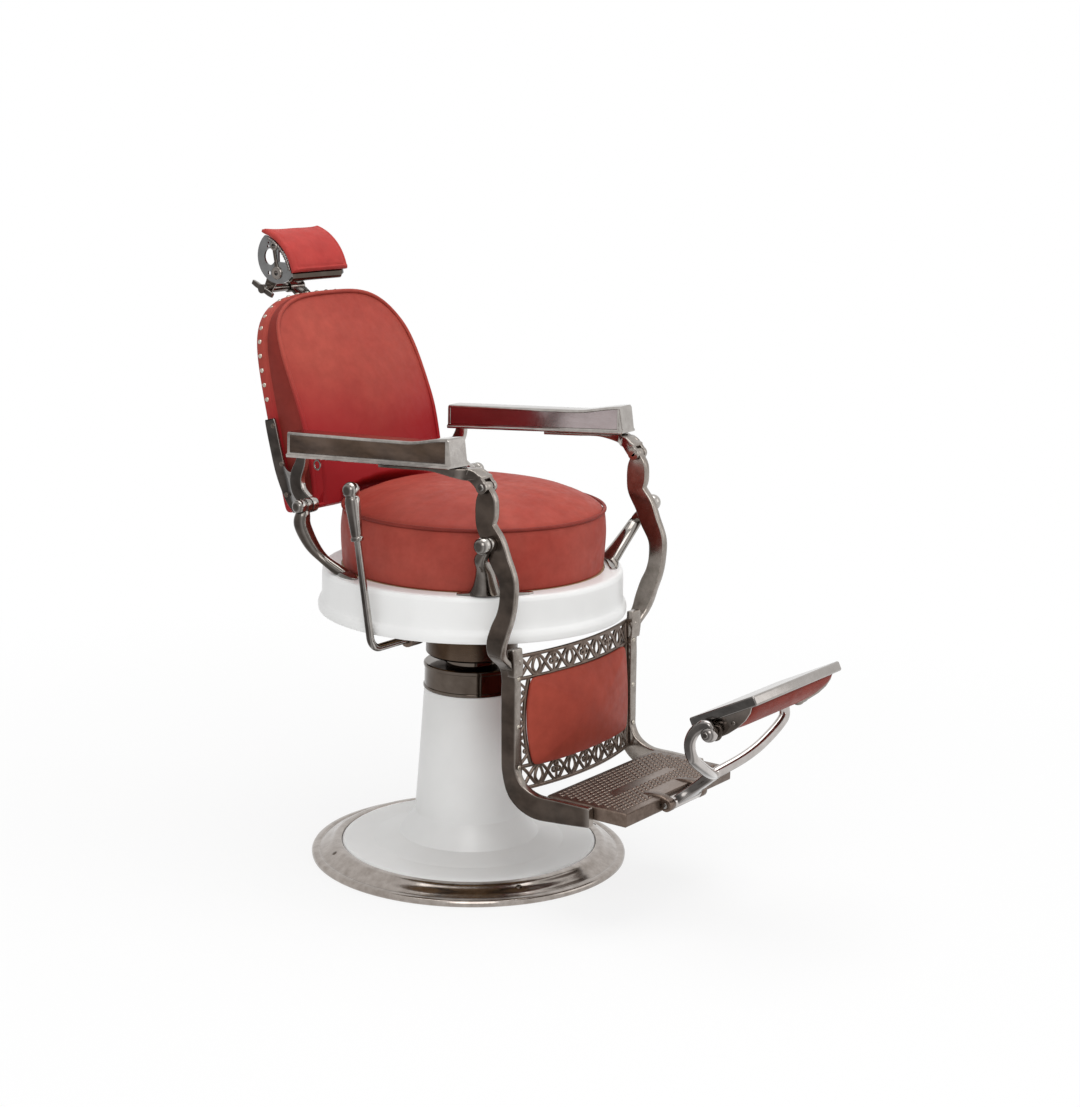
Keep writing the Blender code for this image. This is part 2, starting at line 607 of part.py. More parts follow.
def foot_plate(start, end):
    """Curved foot on the seat ring's top, between two angles from +X towards -Y."""
    inner = CUSHION_RADIUS + WELT + 0.002
    outer = RING_RADIUS - RING_DRAFT - 0.007
    middle = (inner + outer) / 2
    steps = 8
    rings = []
    for k in range(steps + 1):
        share = k / steps
        angle = start + (end - start) * share
        spread = (outer - inner) / 2 * (0.35 + 0.65 * sin(pi * share) ** 0.5)
        low, high = ring_top + GAP, ring_top + GAP + 0.003 + 0.004 * sin(pi * share)
        section = [(middle - spread, low), (middle + spread, low),
                   (middle + spread * 0.8, high), (middle - spread * 0.8, high)]
        rings.append([(radius * cos(angle), -radius * sin(angle), z) for radius, z in section])
    return loft(rings)


def oval_stem(path, broad, sides):
    """Upright with an oval section, from a path of (x, y, z, half width along broad, half depth)."""
    rings = []
    for i, (x, y, z, half, depth) in enumerate(path):
        run = Vector(path[min(i + 1, len(path) - 1)][:3]) - Vector(path[max(i - 1, 0)][:3])
        run.x, run.y = run.x / 2, run.y / 2
        deep = run.normalized().cross(broad).normalized()
        angles = [2 * pi * k / sides for k in range(sides)]
        rings.append([Vector((x, y, z)) + broad * half * cos(a) + deep * depth * sin(a) for a in angles])
    return loft(rings)


def make_stands():
    """Cast stands that carry the pivots above the seat ring, and the ball-headed bolts through them."""
    boss_mid = (stand_in + stand_out) / 2
    foot_z = ring_top + GAP + 0.002
    middle = (CUSHION_RADIUS + WELT + RING_RADIUS - RING_DRAFT) / 2 - 0.002
    # For each: its pivot, its foot's span and middle, and (share of the rise, lean, half width, half depth)
    rises = {
        "front_stand": (LEG_PIVOT, radians(30), radians(62), radians(46), 0.026,
                        [(0.10, 0.001, 0.0215, 0.0110), (0.25, 0.004, 0.0165, 0.0098),
                         (0.50, 0.008, 0.0150, 0.0090), (0.72, 0.010, 0.0138, 0.0080)]),
        "rear_stand": (BACK_PIVOT, radians(-32), radians(-16), radians(-27), 0.015,
                       [(0.18, 0.026, 0.0095, 0.0090), (0.385, 0.034, 0.0085, 0.0085),
                        (0.69, 0.024, 0.0085, 0.0080)])}
    for name, (pivot, start, end, root, foot_half, bends) in rises.items():
        foot = Vector((middle * cos(root), -middle * sin(root), foot_z))
        top = Vector((boss_mid, pivot.y, pivot.z))
        along_ring = Vector((-sin(root), -cos(root), 0))
        knots = [(*foot, foot_half, 0.0122)]
        for share, back, half, depth in bends:
            along = foot.lerp(top, share)
            knots.append((along.x + 0.018 * share, along.y + back, along.z, half, depth))
        knots.append((*(top - Vector((0, 0, 0.004))), STAND_THICK / 2 - 0.0012, STAND_THICK / 2 - 0.0012))
        stem = oval_stem(curve_through(knots, 3), along_ring, 10)
        swing = Vector((0, 0.05, 0.03))
        clear = block(pivot - swing, pivot + swing + Vector((stand_in + 0.0005, 0, 0)))
        below = block((0, -0.4, ring_top - 0.05), (0.4, 0.4, ring_top + 0.0012))
        stem = cut(stem, clear, below)
        boss = cross_pin(stand_in, stand_out, EYE_RADIUS + 0.002, pivot, EYE_STEPS)
        body = fused(foot_plate(start, end), stem, boss)
        finish_pair(name, cut(body, pin_hole(stand_in, stand_out, pivot)), NICKEL, SEAT)
        # Ball-headed bolt with its shank through the stand and the iron
        head = [(BALL_RADIUS * sin(a), stand_out + GAP + BALL_RADIUS * 0.8 - BALL_RADIUS * cos(a))
                for a in (radians(d) for d in (37, 60, 80, 100, 120, 140, 160))]
        shank = [(PIN_RADIUS, iron_in), (PIN_RADIUS, stand_out + GAP)]
        bolt = along_x(turned_solid(shank + head, PIN_STEPS), Vector((0, pivot.y, pivot.z)))
        finish_pair("leg_pivot_bolt" if pivot is LEG_PIVOT else "back_pivot_bolt", bolt, NICKEL, SEAT)


def make_lever_bearing(arm_foot):
    """Bracket under the right arm of the spider that carries the lever's shaft."""
    eye = LEVER_ROD_RADIUS + 0.008
    top = arm_foot - GAP
    x0, x1 = -BEARING_X - BEARING_WIDTH / 2, -BEARING_X + BEARING_WIDTH / 2
    plate = block((x0 - 0.012, LEVER_Y - 0.018, top - 0.008), (x1 + 0.012, LEVER_Y + 0.018, top))
    web = block((x0, LEVER_Y - 0.012, LEVER_PIVOT.z), (x1, LEVER_Y + 0.012, top - 0.004))
    barrel = cross_pin(x0 - 0.004, x1 + 0.004, eye, LEVER_PIVOT, EYE_STEPS)
    hole = cross_pin(x0 - 0.02, x1 + 0.02, LEVER_ROD_RADIUS + BORE_PLAY, LEVER_PIVOT)
    finish("lever_bearing", cut(fused(plate, web, barrel), hole), CAST, SEAT)


def make_lever():
    lean = Vector((0, sin(LEVER_LEAN), cos(LEVER_LEAN)))
    elbow = Vector((-LEVER_X, LEVER_Y, LEVER_PIVOT.z))
    bend = LEVER_BEND
    points = [Vector((-BEARING_X + BEARING_WIDTH / 2 + LEVER_SHAFT_LAP, LEVER_Y, LEVER_PIVOT.z)),
              elbow + Vector((bend * 1.6, 0, 0)), elbow + Vector((bend, 0, 0))]
    for k in range(1, 5):
        angle = pi / 2 * k / 5
        points.append(elbow + Vector((bend * (1 - sin(angle)), 0, 0)) + lean * bend * (1 - cos(angle)))
    grip_foot = LEVER_LENGTH - GRIP_LENGTH
    points += [elbow + lean * bend, elbow + lean * grip_foot * 0.5, elbow + lean * (grip_foot - GAP)]
    radii = [LEVER_ROD_RADIUS] * (len(points) - 2) + [LEVER_ROD_RADIUS * 0.97, LEVER_ROD_RADIUS * 0.88]
    finish("lever_rod", tube(points, radii, 10), NICKEL, LEVER)

    # Grip: ferrule, long taper and a ball end
    outline = [(0.0105, 0), (0.0115, 0.002), (0.0115, 0.006), (0.0102, 0.008), (0.0108, 0.012),
               (0.0142, GRIP_LENGTH - 0.020), (0.0140, GRIP_LENGTH - 0.0135)]
    for angle in (radians(degree) for degree in (-50, -25, 0, 25, 50, 72)):
        outline.append((KNOB_RADIUS * cos(angle), GRIP_LENGTH + KNOB_RADIUS * sin(angle)))
    grip = turned_solid(outline, EYE_STEPS)
    grip.transform(Matrix.Translation(elbow + lean * grip_foot) @ Matrix.Rotation(-LEVER_LEAN, 4, "X"))
    finish("lever_grip", grip, NICKEL, LEVER)


# Back
def back_point(x, up, ahead):
    return Vector((x, 0, 0)) + BACK_FOOT + back_up * up + back_ahead * ahead


def seat_edge(x):
    """How far back the seat cushion reaches, with a clearance."""
    reach = CUSHION_RADIUS + WELT + RECLINE_CLEAR
    return sqrt(reach ** 2 - min(abs(x), reach) ** 2)


def clear_depth(x, up):
    """Thickest the back may be at a place, to pass behind the seat cushion when it goes down."""
    return (foot_down.y + up * sin(slope_down) - seat_edge(x)) / cos(slope_down)


def lower_edge(x):
    """Lower edge of the back: straight, and lifted where even the bare board would meet the cushion."""
    least = (BOARD_THICK + BACK_EDGE_THICK) * cos(slope_down)
    return max(-BACK_CORNER_DROP, (least + seat_edge(x) - foot_down.y) / sin(slope_down))


def back_outline(inset):
    """Place on the back for shares across it and up it."""
    power = 3.2

    def half_width(up):
        rise = max(0.0, (up - BACK_SHOULDER) / (BACK_HEIGHT - BACK_SHOULDER))
        return (BACK_HALF - inset) * max(0.0, 1 - min(rise, 0.985) ** power) ** (1 / power)

    def place(u, v):
        level = -BACK_CORNER_DROP + inset + (BACK_HEIGHT * 0.992 - inset + BACK_CORNER_DROP - inset) * v
        x = (2 * u - 1) * half_width(level)
        return x, level + (lower_edge(x) + BACK_CORNER_DROP) * (1 - v) ** 2
    return place


def back_thickness(up):
    share = min(max(up / BACK_HEIGHT, 0.0), 1.0)
    return BACK_THICK_LOW + (BACK_THICK_TOP - BACK_THICK_LOW) * max(0.0, (share - 0.30) / 0.70) ** 1.2


def make_back():
    def sheet(name, inset, front_depth, back_depth, look, columns=10, rows=9):
        place = back_outline(inset)

        def surface(depth):
            def point(u, v):
                x, up = place(u, v)
                return back_point(x, up, depth(u, v, x, up))
            return point
        finish(name, slab(surface(front_depth), surface(back_depth), columns, rows), look, BACK)

    def stuffing(u, v, x, up):
        across = 1 - (2 * u - 1) ** 4
        along = 1 - abs(2 * v - 1) ** 4
        return min(back_thickness(up) + BACK_CROWN * across * along, clear_depth(x, up))

    def level(depth):
        return lambda u, v, x, up: depth

    sheet("back_cushion", 0.0, stuffing, level(BOARD_THICK + GAP), LEATHER, 16, 14)
    sheet("back_board", 0.0, level(BOARD_THICK), level(0.0), WOOD)
    sheet("back_rear_panel", 0.002, level(-GAP), level(-GAP - REAR_PANEL_THICK), LEATHER)

    # Back iron: strap on the side of the back, and a link between the two pivots
    strap_x = BACK_HALF + 0.0008 + STRAP_THICK / 2
    strap_top = 0.152
    strap = [(strap_x, *back_point(0, up, ahead).yz, 0.026, STRAP_THICK) for up, ahead in (
        (strap_top, 0), (0.10, 0.0005), (0.05, 0.003), (0.005, 0.013), (-0.022, 0.026))]
    p1, p2 = BACK_PIVOT, ARM_REAR_PIVOT
    link_thick = IRON_THICK - 0.0015
    bends = ((0, 0, 0.77), (0.03, 0.22, 0.92), (0.15, 0.53, 1.08), (0.085, 0.80, 1.08))
    link = [(IRON_X, p2.y + LINK_RISE * behind, p2.z - LINK_RISE * down, LINK_WIDTH * width, link_thick)
            for behind, down, width in bends]
    link.append((IRON_X, p1.y, p1.z, LINK_WIDTH, link_thick))

    def web(face):
        """Curved web between the link and the strap, with its upper edge hollowed."""
        link_foot, link_head = p1 + Vector((IRON_X, 0.014, -0.008)), p2 + Vector((IRON_X, 0.011, -0.028))
        strap_foot, strap_head = back_point(strap_x, -0.014, 0.016), back_point(strap_x, 0.070, 0.010)

        def point(u, v):
            spot = link_foot.lerp(link_head, v).lerp(strap_foot.lerp(strap_head, v), u)
            spot.z += sin(pi * u) * (0.004 - 0.020 * v)
            return spot + Vector((face * STRAP_THICK / 2, 0, 0))
        return point
    eyes = [cross_pin(iron_in + 0.0005, iron_out - 0.0005, radius, pivot, EYE_STEPS)
            for radius, pivot in ((EYE_RADIUS + 0.003, p1), (EYE_RADIUS - 0.001, p2))]
    holes = [pin_hole(iron_in, iron_out, pivot) for pivot in (p1, p2)]
    iron = fused(flat_bar(strap, 2, 0.0015), flat_bar(link, 2), slab(web(0.9), web(-0.9), 6, 3), *eyes)
    finish_pair("back_iron", cut(iron, *holes), NICKEL, BACK)

    finish_pair("arm_rear_pin", cross_pin(IRON_X - pin_half, IRON_X + pin_half, PIN_RADIUS, p2), STEEL, BACK)

    # Socket behind the back that the headrest bar slides through
    wide = HEAD_BAR_WIDTH / 2 + GAP
    near = -REAR_PANEL_THICK - 2 * GAP
    far = -HEAD_BAR_BEHIND - HEAD_BAR_THICK - GAP
    def turned_up(bm):
        bm.transform(Matrix.Translation(BACK_FOOT) @ Matrix.Rotation(-BACK_TILT, 4, "X"))
        return bm
    top = BACK_HEIGHT - SOCKET_DROP
    foot = top - SOCKET_HEIGHT
    body = block((-wide - 0.016, -near, foot), (wide + 0.016, -far + 0.006, top))
    slot = block((-wide, -near + 0.0025, foot - 0.03), (wide, -far, top + 0.03))
    finish("headrest_socket", turned_up(cut(bevelled(body, 0.002), slot)), NICKEL, BACK)


# Arms
def make_arms():
    """Hollow cast arms with a flange round the foot, sunk side panels and a raised nose."""
    def arm_levels(run):
        share = run / arm_length
        nose = max(0.0, (share - 0.74) / 0.26)
        nose = nose * nose * (3 - 2 * nose)
        low = ARM_BOTTOM + ARM_RISE * share
        high = ARM_TOP + (ARM_RISE - 0.004) * share + ARM_NOSE * nose
        return low, high

    def shell(inset, runs, flange, roof=0.0, floor_drop=0.0):
        rings = []
        for run in runs:
            low, high = arm_levels(run)
            w, f = ARM_WIDTH / 2 - inset, ARM_WIDTH / 2 + flange
            top = high - roof
            lean = 0.008 * max(0.0, 1 - (arm_length - run) / 0.004) if flange else 0.0
            if flange:
                ledge, step = low + ARM_FLANGE_THICK, low + ARM_FLANGE_THICK + 0.001
                section = [(-f, low), (f, low), (f, ledge), (w, step), (w, top - 0.004), (w - 0.004, top),
                           (0.004 - w, top), (-w, top - 0.004), (-w, step), (-f, ledge)]
            else:
                section = [(-w, low - floor_drop), (w, low - floor_drop), (w, top), (-w, top)]
            rings.append([(x, ARM_REAR - run - lean * (high - z) / (high - low), z) for x, z in section])
        return loft(rings)

    runs = [arm_length * s for s in (0, 0.25, 0.5, 0.7, 0.76, 0.82, 0.88, 0.94, 1.0)]
    body = shell(0.0, runs, ARM_FLANGE)
    hollow = shell(ARM_WALL, [ARM_WALL, 0.30 * arm_length, 0.65 * arm_length], 0.0, ARM_WALL, 0.01)
    panels = []
    for side in (-1, 1):
        rim = 0.0045
        x = side * ARM_WIDTH / 2
        stations = [0.006, *(arm_length * s for s in (0.50, 0.73, 0.83, 0.90)), arm_length - 0.006]
        rings = []
        for run in stations:
            low, high = arm_levels(run)
            foot, head = low + ARM_FLANGE_THICK + 0.003, high - rim
            rings.append([(x - 0.0015, ARM_REAR - run, foot), (x + 0.0015, ARM_REAR - run, foot),
                          (x + 0.0015, ARM_REAR - run, head), (x - 0.0015, ARM_REAR - run, head)])
        panels.append(loft(rings))
    arm = cut(body, hollow, *panels)
    root = ARM_REAR_PIVOT + Vector((IRON_X, 0, 0))
    arm.transform(Matrix.Translation(root) @ Matrix.Rotation(ARM_SPLAY, 4, "Z"))
    blind = pin_half + 0.0005
    sockets = cross_pin(IRON_X - blind, IRON_X + blind, PIN_RADIUS + BORE_PLAY, ARM_REAR_PIVOT)
    finish_pair("armrest", cut(arm, sockets), NICKEL, ARM)

    # Gooseneck under the arm, forked round the leg iron's eye
    def under_arm(y):
        run = ARM_REAR_PIVOT.y + ARM_REAR - y
        return ARM_REAR_PIVOT.z + arm_levels(run)[0] - GAP

    def arm_x(y):
        return IRON_X + (ARM_REAR_PIVOT.y - y) * sin(ARM_SPLAY)
    p3 = ARM_FRONT_PIVOT
    plate = 0.0065
    front = ARM_REAR_PIVOT.y + ARM_REAR - arm_length
    knots = [(arm_x(y), y, under_arm(y) - plate / 2 - 0.0002, plate, BRACKET_WIDTH)
             for y in (front + 0.173, front + 0.103, front + 0.05)]
    knots += [(arm_x(front) - 0.006, front + 0.006, under_arm(front) - 0.0062, 0.010, BRACKET_WIDTH),
              (IRON_X + 0.008, front - 0.016, under_arm(front) - 0.0075, 0.0125, BRACKET_WIDTH),
              (IRON_X + 0.002, p3.y + 0.0075, p3.z + 0.013, 0.016, BRACKET_WIDTH),
              (IRON_X, p3.y, p3.z, 0.019, BRACKET_WIDTH)]
    half = BRACKET_WIDTH / 2
    eye_half = half - GAP
    eye = cross_pin(IRON_X - eye_half, IRON_X + eye_half, EYE_RADIUS - 0.0005, p3, EYE_STEPS)
    fork = block((iron_in - 2 * GAP, p3.y - 0.04, p3.z - 0.05),
                 (iron_out + 2 * GAP, p3.y + 0.0145, p3.z + 0.0155))
    bracket = cut(fused(flat_bar(knots, 2, 0.002), eye), fork, pin_hole(IRON_X - half, IRON_X + half, p3))
    finish_pair("arm_bracket", bracket, NICKEL, ARM)

    # Ring under the right arm, for the strop
    ring_y = 0.158
    ring_radius, wire = 0.0085, 0.0016
    low = ARM_REAR_PIVOT.z + arm_levels(ARM_REAR_PIVOT.y + ARM_REAR - ring_y)[0]
    steps = 16
    circle = [2 * pi * k / steps for k in range(steps)]
    section = [(ring_radius + wire * cos(b), wire * sin(b)) for b in (2 * pi * j / 6 for j in range(6))]
    ring = loft([[(r * cos(a), y, r * sin(a)) for r, y in section] for a in circle], closed_along=True)
    spot = Vector((-arm_x(ring_y) - ARM_WIDTH / 2 - 0.0005, ring_y, low - ring_radius - wire - GAP))
    ring.transform(Matrix.Translation(spot) @ Matrix.Rotation(radians(80), 4, "Z"))
    finish("strop_ring", ring, NICKEL, ARM["right"])


# Legs
def make_leg_irons():
    """S-shaped irons: an eye at the arm, a boss on the seat stand, and a foot that carries the platform."""
    t = IRON_THICK
    p4 = LEG_PIVOT

    def knot(inward, ahead, up, width):
        return (IRON_X - LEG_STEP * inward, p4.y - ahead, p4.z + up, IRON_WIDTH * width, t)

    # Above the pivot: back a little to the arm's eye
    knots = [knot(0, -LINK_SET, LINK_RISE, 0.59)]
    knots += [knot(0, -0.85 * LINK_SET, LINK_RISE * up, width)
              for up, width in ((0.79, 1.25), (0.53, 1.38), (0.285, 1.19))]
    # Below it: a forward bow, a step inwards, and straight down beside the panel
    knots += [knot(inward, IRON_BOW * ahead, -LEG_DROP * drop, width) for inward, ahead, drop, width in (
        (0, 0.11, 0, 1.31), (0, 0.47, 0.061, 1.28), (0, 0.96, 0.137, 1.12), (0, 1.00, 0.214, 1.03),
        (0, 0.84, 0.279, 1.06), (0, 0.52, 0.340, 1.16), (0, 0.28, 0.399, 1.16), (0.30, 0.17, 0.451, 1.00),
        (0.78, 0.16, 0.514, 0.94), (0.985, 0.185, 0.567, 0.98), (1, 0.20, 0.621, 1.00),
        (1, 0.26, 0.858, 0.97), (1, 0.34, 0.939, 1.00))]
    # Foot under the platform
    toe = PLATFORM_BACK + IRON_TOE
    knots += [knot(1, toe * ahead, -LEG_DROP - PLATFORM_RIM * under, width) for ahead, under, width in (
        (0.158, 0.16, 1.28), (0.350, 0.86, 1.375), (0.628, 0.86, 1.30), (1, 0.74, 1.125))]
    eye = cross_pin(iron_in, iron_out, EYE_RADIUS - 0.0015, ARM_FRONT_PIVOT, EYE_STEPS)
    holes = [pin_hole(iron_in, iron_out, pivot) for pivot in (p4, ARM_FRONT_PIVOT)]
    finish_pair("leg_iron", cut(fused(flat_bar(knots, 2), eye), *holes), IRON, LEGS)
    half = BRACKET_WIDTH / 2
    pin = cross_pin(IRON_X - half, IRON_X + half, PIN_RADIUS, ARM_FRONT_PIVOT)
    finish_pair("arm_front_pin", pin, STEEL, LEGS)


def panel_y(x, z):
    """Middle of the leg panel: bowed forward between the irons, and leaning forward to the foot."""
    lean = PANEL_LEAN * (1 - (z - panel_foot) / PANEL_HEIGHT)
    return LEG_PIVOT.y - PANEL_SET - lean - PANEL_BOW * (1 - (x / panel_half) ** 2)


def panel_strand(points, width, depth, closed=False):
    """Square bar along (x, z) points on the bowed panel."""
    count = len(points)
    rings = []
    for i, (x, z) in enumerate(points):
        x0, z0 = points[i - 1] if closed else points[max(i - 1, 0)]
        x1, z1 = points[(i + 1) % count] if closed else points[min(i + 1, count - 1)]
        length = hypot(x1 - x0, z1 - z0)
        nx, nz = -(z1 - z0) / length, (x1 - x0) / length
        ring = []
        for a, b in ((1, 1), (-1, 1), (-1, -1), (1, -1)):
            px, pz = x + nx * a * width / 2, z + nz * a * width / 2
            ring.append((px, panel_y(px, pz) + b * depth / 2, pz))
        rings.append(ring)
    return loft(rings, closed)


def opening_half(z):
    """Half width of the panel's opening, which bows out like a barrel."""
    middle = panel_foot + PANEL_HEIGHT / 2
    share = (z - middle) / (PANEL_HEIGHT / 2 - PANEL_BAND)
    return panel_half - PANEL_STRIP + PANEL_BARREL * max(0.0, 1 - share ** 2)


def make_leg_panel():
    """Openwork panel: two bands of interlaced waves with pointed eyes between them, and waved side strips."""
    top = panel_foot + PANEL_HEIGHT
    rail = PANEL_RAIL
    edge = rail / 2
    fine, thin = rail * 0.75, PANEL_THICK * 0.8
    strands = []

    def shares(count):
        return [k / count for k in range(count + 1)]

    for low in (panel_foot, top - PANEL_BAND):
        high = low + PANEL_BAND
        middle = (low + high) / 2
        for z in (low + edge, high - edge):
            level = [(panel_half * (2 * s - 1), z) for s in shares(12)]
            strands.append(panel_strand(level, rail, PANEL_THICK))
        reach = panel_half - edge
        tall = PANEL_BAND / 2 - rail * 0.75
        # One wave stands a little proud of the other where they cross, and both of the eyes
        for turn, depth in ((-1, thin), (1, thin * 0.86)):
            wave = [(reach * (2 * s - 1), middle + turn * tall * cos(2 * pi * WAVES * s))
                    for s in shares(6 * WAVES)]
            strands.append(panel_strand(wave, fine, depth))
        eye = reach / WAVES * 0.21
        for k in range(1, 2 * WAVES, 2):
            x = reach * (k / WAVES - 1)
            lens = [(x, middle - tall), (x + eye, middle), (x, middle + tall), (x - eye, middle)]
            strands.append(panel_strand(lens, fine * 0.9, thin * 0.72, closed=True))

    low, high = panel_foot + PANEL_BAND - edge, top - PANEL_BAND + edge
    for side in (-1, 1):
        upright = [(side * (panel_half - edge), panel_foot + edge + (PANEL_HEIGHT - rail) * s)
                   for s in shares(6)]
        strands.append(panel_strand(upright, rail, PANEL_THICK))
        inner, wave = [], []
        for s in shares(6 * STRIP_WAVES):
            z = low + (high - low) * s
            near, far = opening_half(z) + edge, panel_half - edge
            inner.append((side * near, z))
            wave.append((side * ((near + far) / 2 + (far - near) / 2 * cos(2 * pi * STRIP_WAVES * s)), z))
        strands.append(panel_strand(inner[::2], rail, PANEL_THICK))
        strands.append(panel_strand(wave, fine, thin))
    finish("leg_panel", fused(strands[0], *strands[1:]), CAST, LEGS)

    # Stuffed pad over the opening, barrel-shaped and crowned
    half_height = PANEL_HEIGHT / 2 - PANEL_BAND
    front_gap = PANEL_THICK / 2 + GAP
    edge_thick = 0.007

    def spot(u, v):
        a, b = 2 * u - 1, 2 * v - 1
        x = a * (opening_half(panel_foot + PANEL_HEIGHT / 2 + b * half_height) + PAD_LAP)
        z = panel_foot + PANEL_HEIGHT / 2 + b * (half_height + PAD_LAP)
        return x, z, (1 - a ** 4) * (1 - b ** 4)

    def pad_front(u, v):
        x, z, crown = spot(u, v)
        return (x, panel_y(x, z) - front_gap - edge_thick - PAD_CROWN * crown, z)

    def pad_back(u, v):
        x, z, _ = spot(u, v)
        return (x, panel_y(x, z) - front_gap, z)
    finish("leg_pad", slab(pad_front, pad_back, 14, 8), LEATHER, LEGS)


def make_platform():
    half = leg_in - GAP
    skin = platform_top - PLATFORM_SKIN
    foot = platform_top - PLATFORM_RIM
    rim = 0.009
    plate = bevelled(block((-half, platform_front, foot), (half, platform_rear, platform_top)), 0.002)
    under = block((-half + rim, platform_front + rim + 0.022, foot - 0.01),
                  (half - rim, platform_rear - rim, skin))
    notch = KNUCKLE_HALF + 2 * GAP
    lugs = [cross_pin(x0, x1, KNUCKLE_RADIUS, YOKE_PIVOT, EYE_STEPS)
            for x0, x1 in ((-notch - LUG_WIDTH, -notch), (notch, notch + LUG_WIDTH))]
    clear = KNUCKLE_RADIUS + 0.0015
    mouth = block((-notch, YOKE_PIVOT.y - clear - 0.02, foot - 0.02),
                  (notch, YOKE_PIVOT.y + clear + 0.006, platform_top + 0.02))
    reach = notch + LUG_WIDTH + 0.003
    hole = pin_hole(-reach, reach, YOKE_PIVOT)
    finish("foot_platform", cut(fused(plate, *lugs), under, mouth, hole), CAST, LEGS)
    finish("yoke_pin", cross_pin(-reach, reach, PIN_RADIUS, YOKE_PIVOT), STEEL, LEGS)


# Foot yoke and foot pad
def make_yoke():
    """Forked yoke: an eye on the platform, a short stem and two arms that curl up to the ball joints."""
    pivot = YOKE_PIVOT
    half = YOKE_HALF
    arm_knots = [(0, 0.060, 0.056), (0.058, 0.086, 0.078), (0.105, 0.101, 0.101),
                 (half - 0.006, 0.110, 0.134), (half, 0.107, 0.160), (half, 0.114, 0.181),
                 (half, 0.129, 0.1955), (half - 0.001, YOKE_REACH + 0.001, YOKE_RISE + 0.0125),
                 (half - 0.004, YOKE_REACH + 0.006, YOKE_RISE + 0.0035)]
    path = [Vector((x, pivot.y - ahead, pivot.z + up)) for x, ahead, up in curve_through(arm_knots, 2)]
    whole = [Vector((-p.x, p.y, p.z)) for p in reversed(path[1:])] + path
    ends = [YOKE_TUBE * share for share in (0.95, 0.85, 0.70, 0.55)]
    arms = tube(whole, ends[::-1] + [YOKE_TUBE] * (len(whole) - 2 * len(ends)) + ends, 8)
    tongue = ((0, 0, 0.018, 0.080), (0.012, 0.011, 0.017, 0.070), (0.030, 0.028, 0.017, 0.040),
              (0.060, 0.056, 0.020, 0.028))
    stem = flat_bar([(0, pivot.y - ahead, pivot.z + up, width, thick)
                     for ahead, up, width, thick in tongue], 2)
    eye = cross_pin(-KNUCKLE_HALF, KNUCKLE_HALF, KNUCKLE_RADIUS, pivot, EYE_STEPS)
    hole = pin_hole(-KNUCKLE_HALF, KNUCKLE_HALF, pivot)
    # Balls at the ends of the arms, flattened on both sides
    flat = YOKE_BALL * cos(radians(40))
    ball_x = FOOT_PAD_HALF - FOOT_PAD_WALL + flat
    face = ball_x + flat + GAP
    head = 0.0080
    seats, balls = [], []
    for side in (-1, 1):
        middle = side * ball_x
        room = sorted((side * (face - GAP), side * (face + 0.014)))
        seats += [pin_hole(middle - flat, middle + flat, PAD_PIVOT),
                  cross_pin(*room, head + BORE_PLAY, PAD_PIVOT)]
        outline = [(YOKE_BALL * sin(angle), middle - YOKE_BALL * cos(angle))
                   for angle in (radians(degree) for degree in (40, 60, 80, 100, 120, 140))]
        balls.append(along_x(turned_solid(outline, EYE_STEPS), PAD_PIVOT))
    finish("foot_yoke", cut(fused(arms, stem, eye, *balls), hole, *seats), NICKEL, YOKE)

    # Dome-headed bolts through the balls into the cheeks
    cheek_in = FOOT_PAD_HALF - FOOT_PAD_WALL - GAP - CHEEK_THICK
    outline = [(PIN_RADIUS, cheek_in), (PIN_RADIUS, face)]
    for angle in (radians(degree) for degree in (90, 65, 40, 15)):
        outline.append((head * sin(angle), face + 0.7 * head * cos(angle)))
    bolt = along_x(turned_solid(outline, PIN_STEPS), PAD_PIVOT)
    finish_pair("foot_pad_bolt", bolt, NICKEL, YOKE)


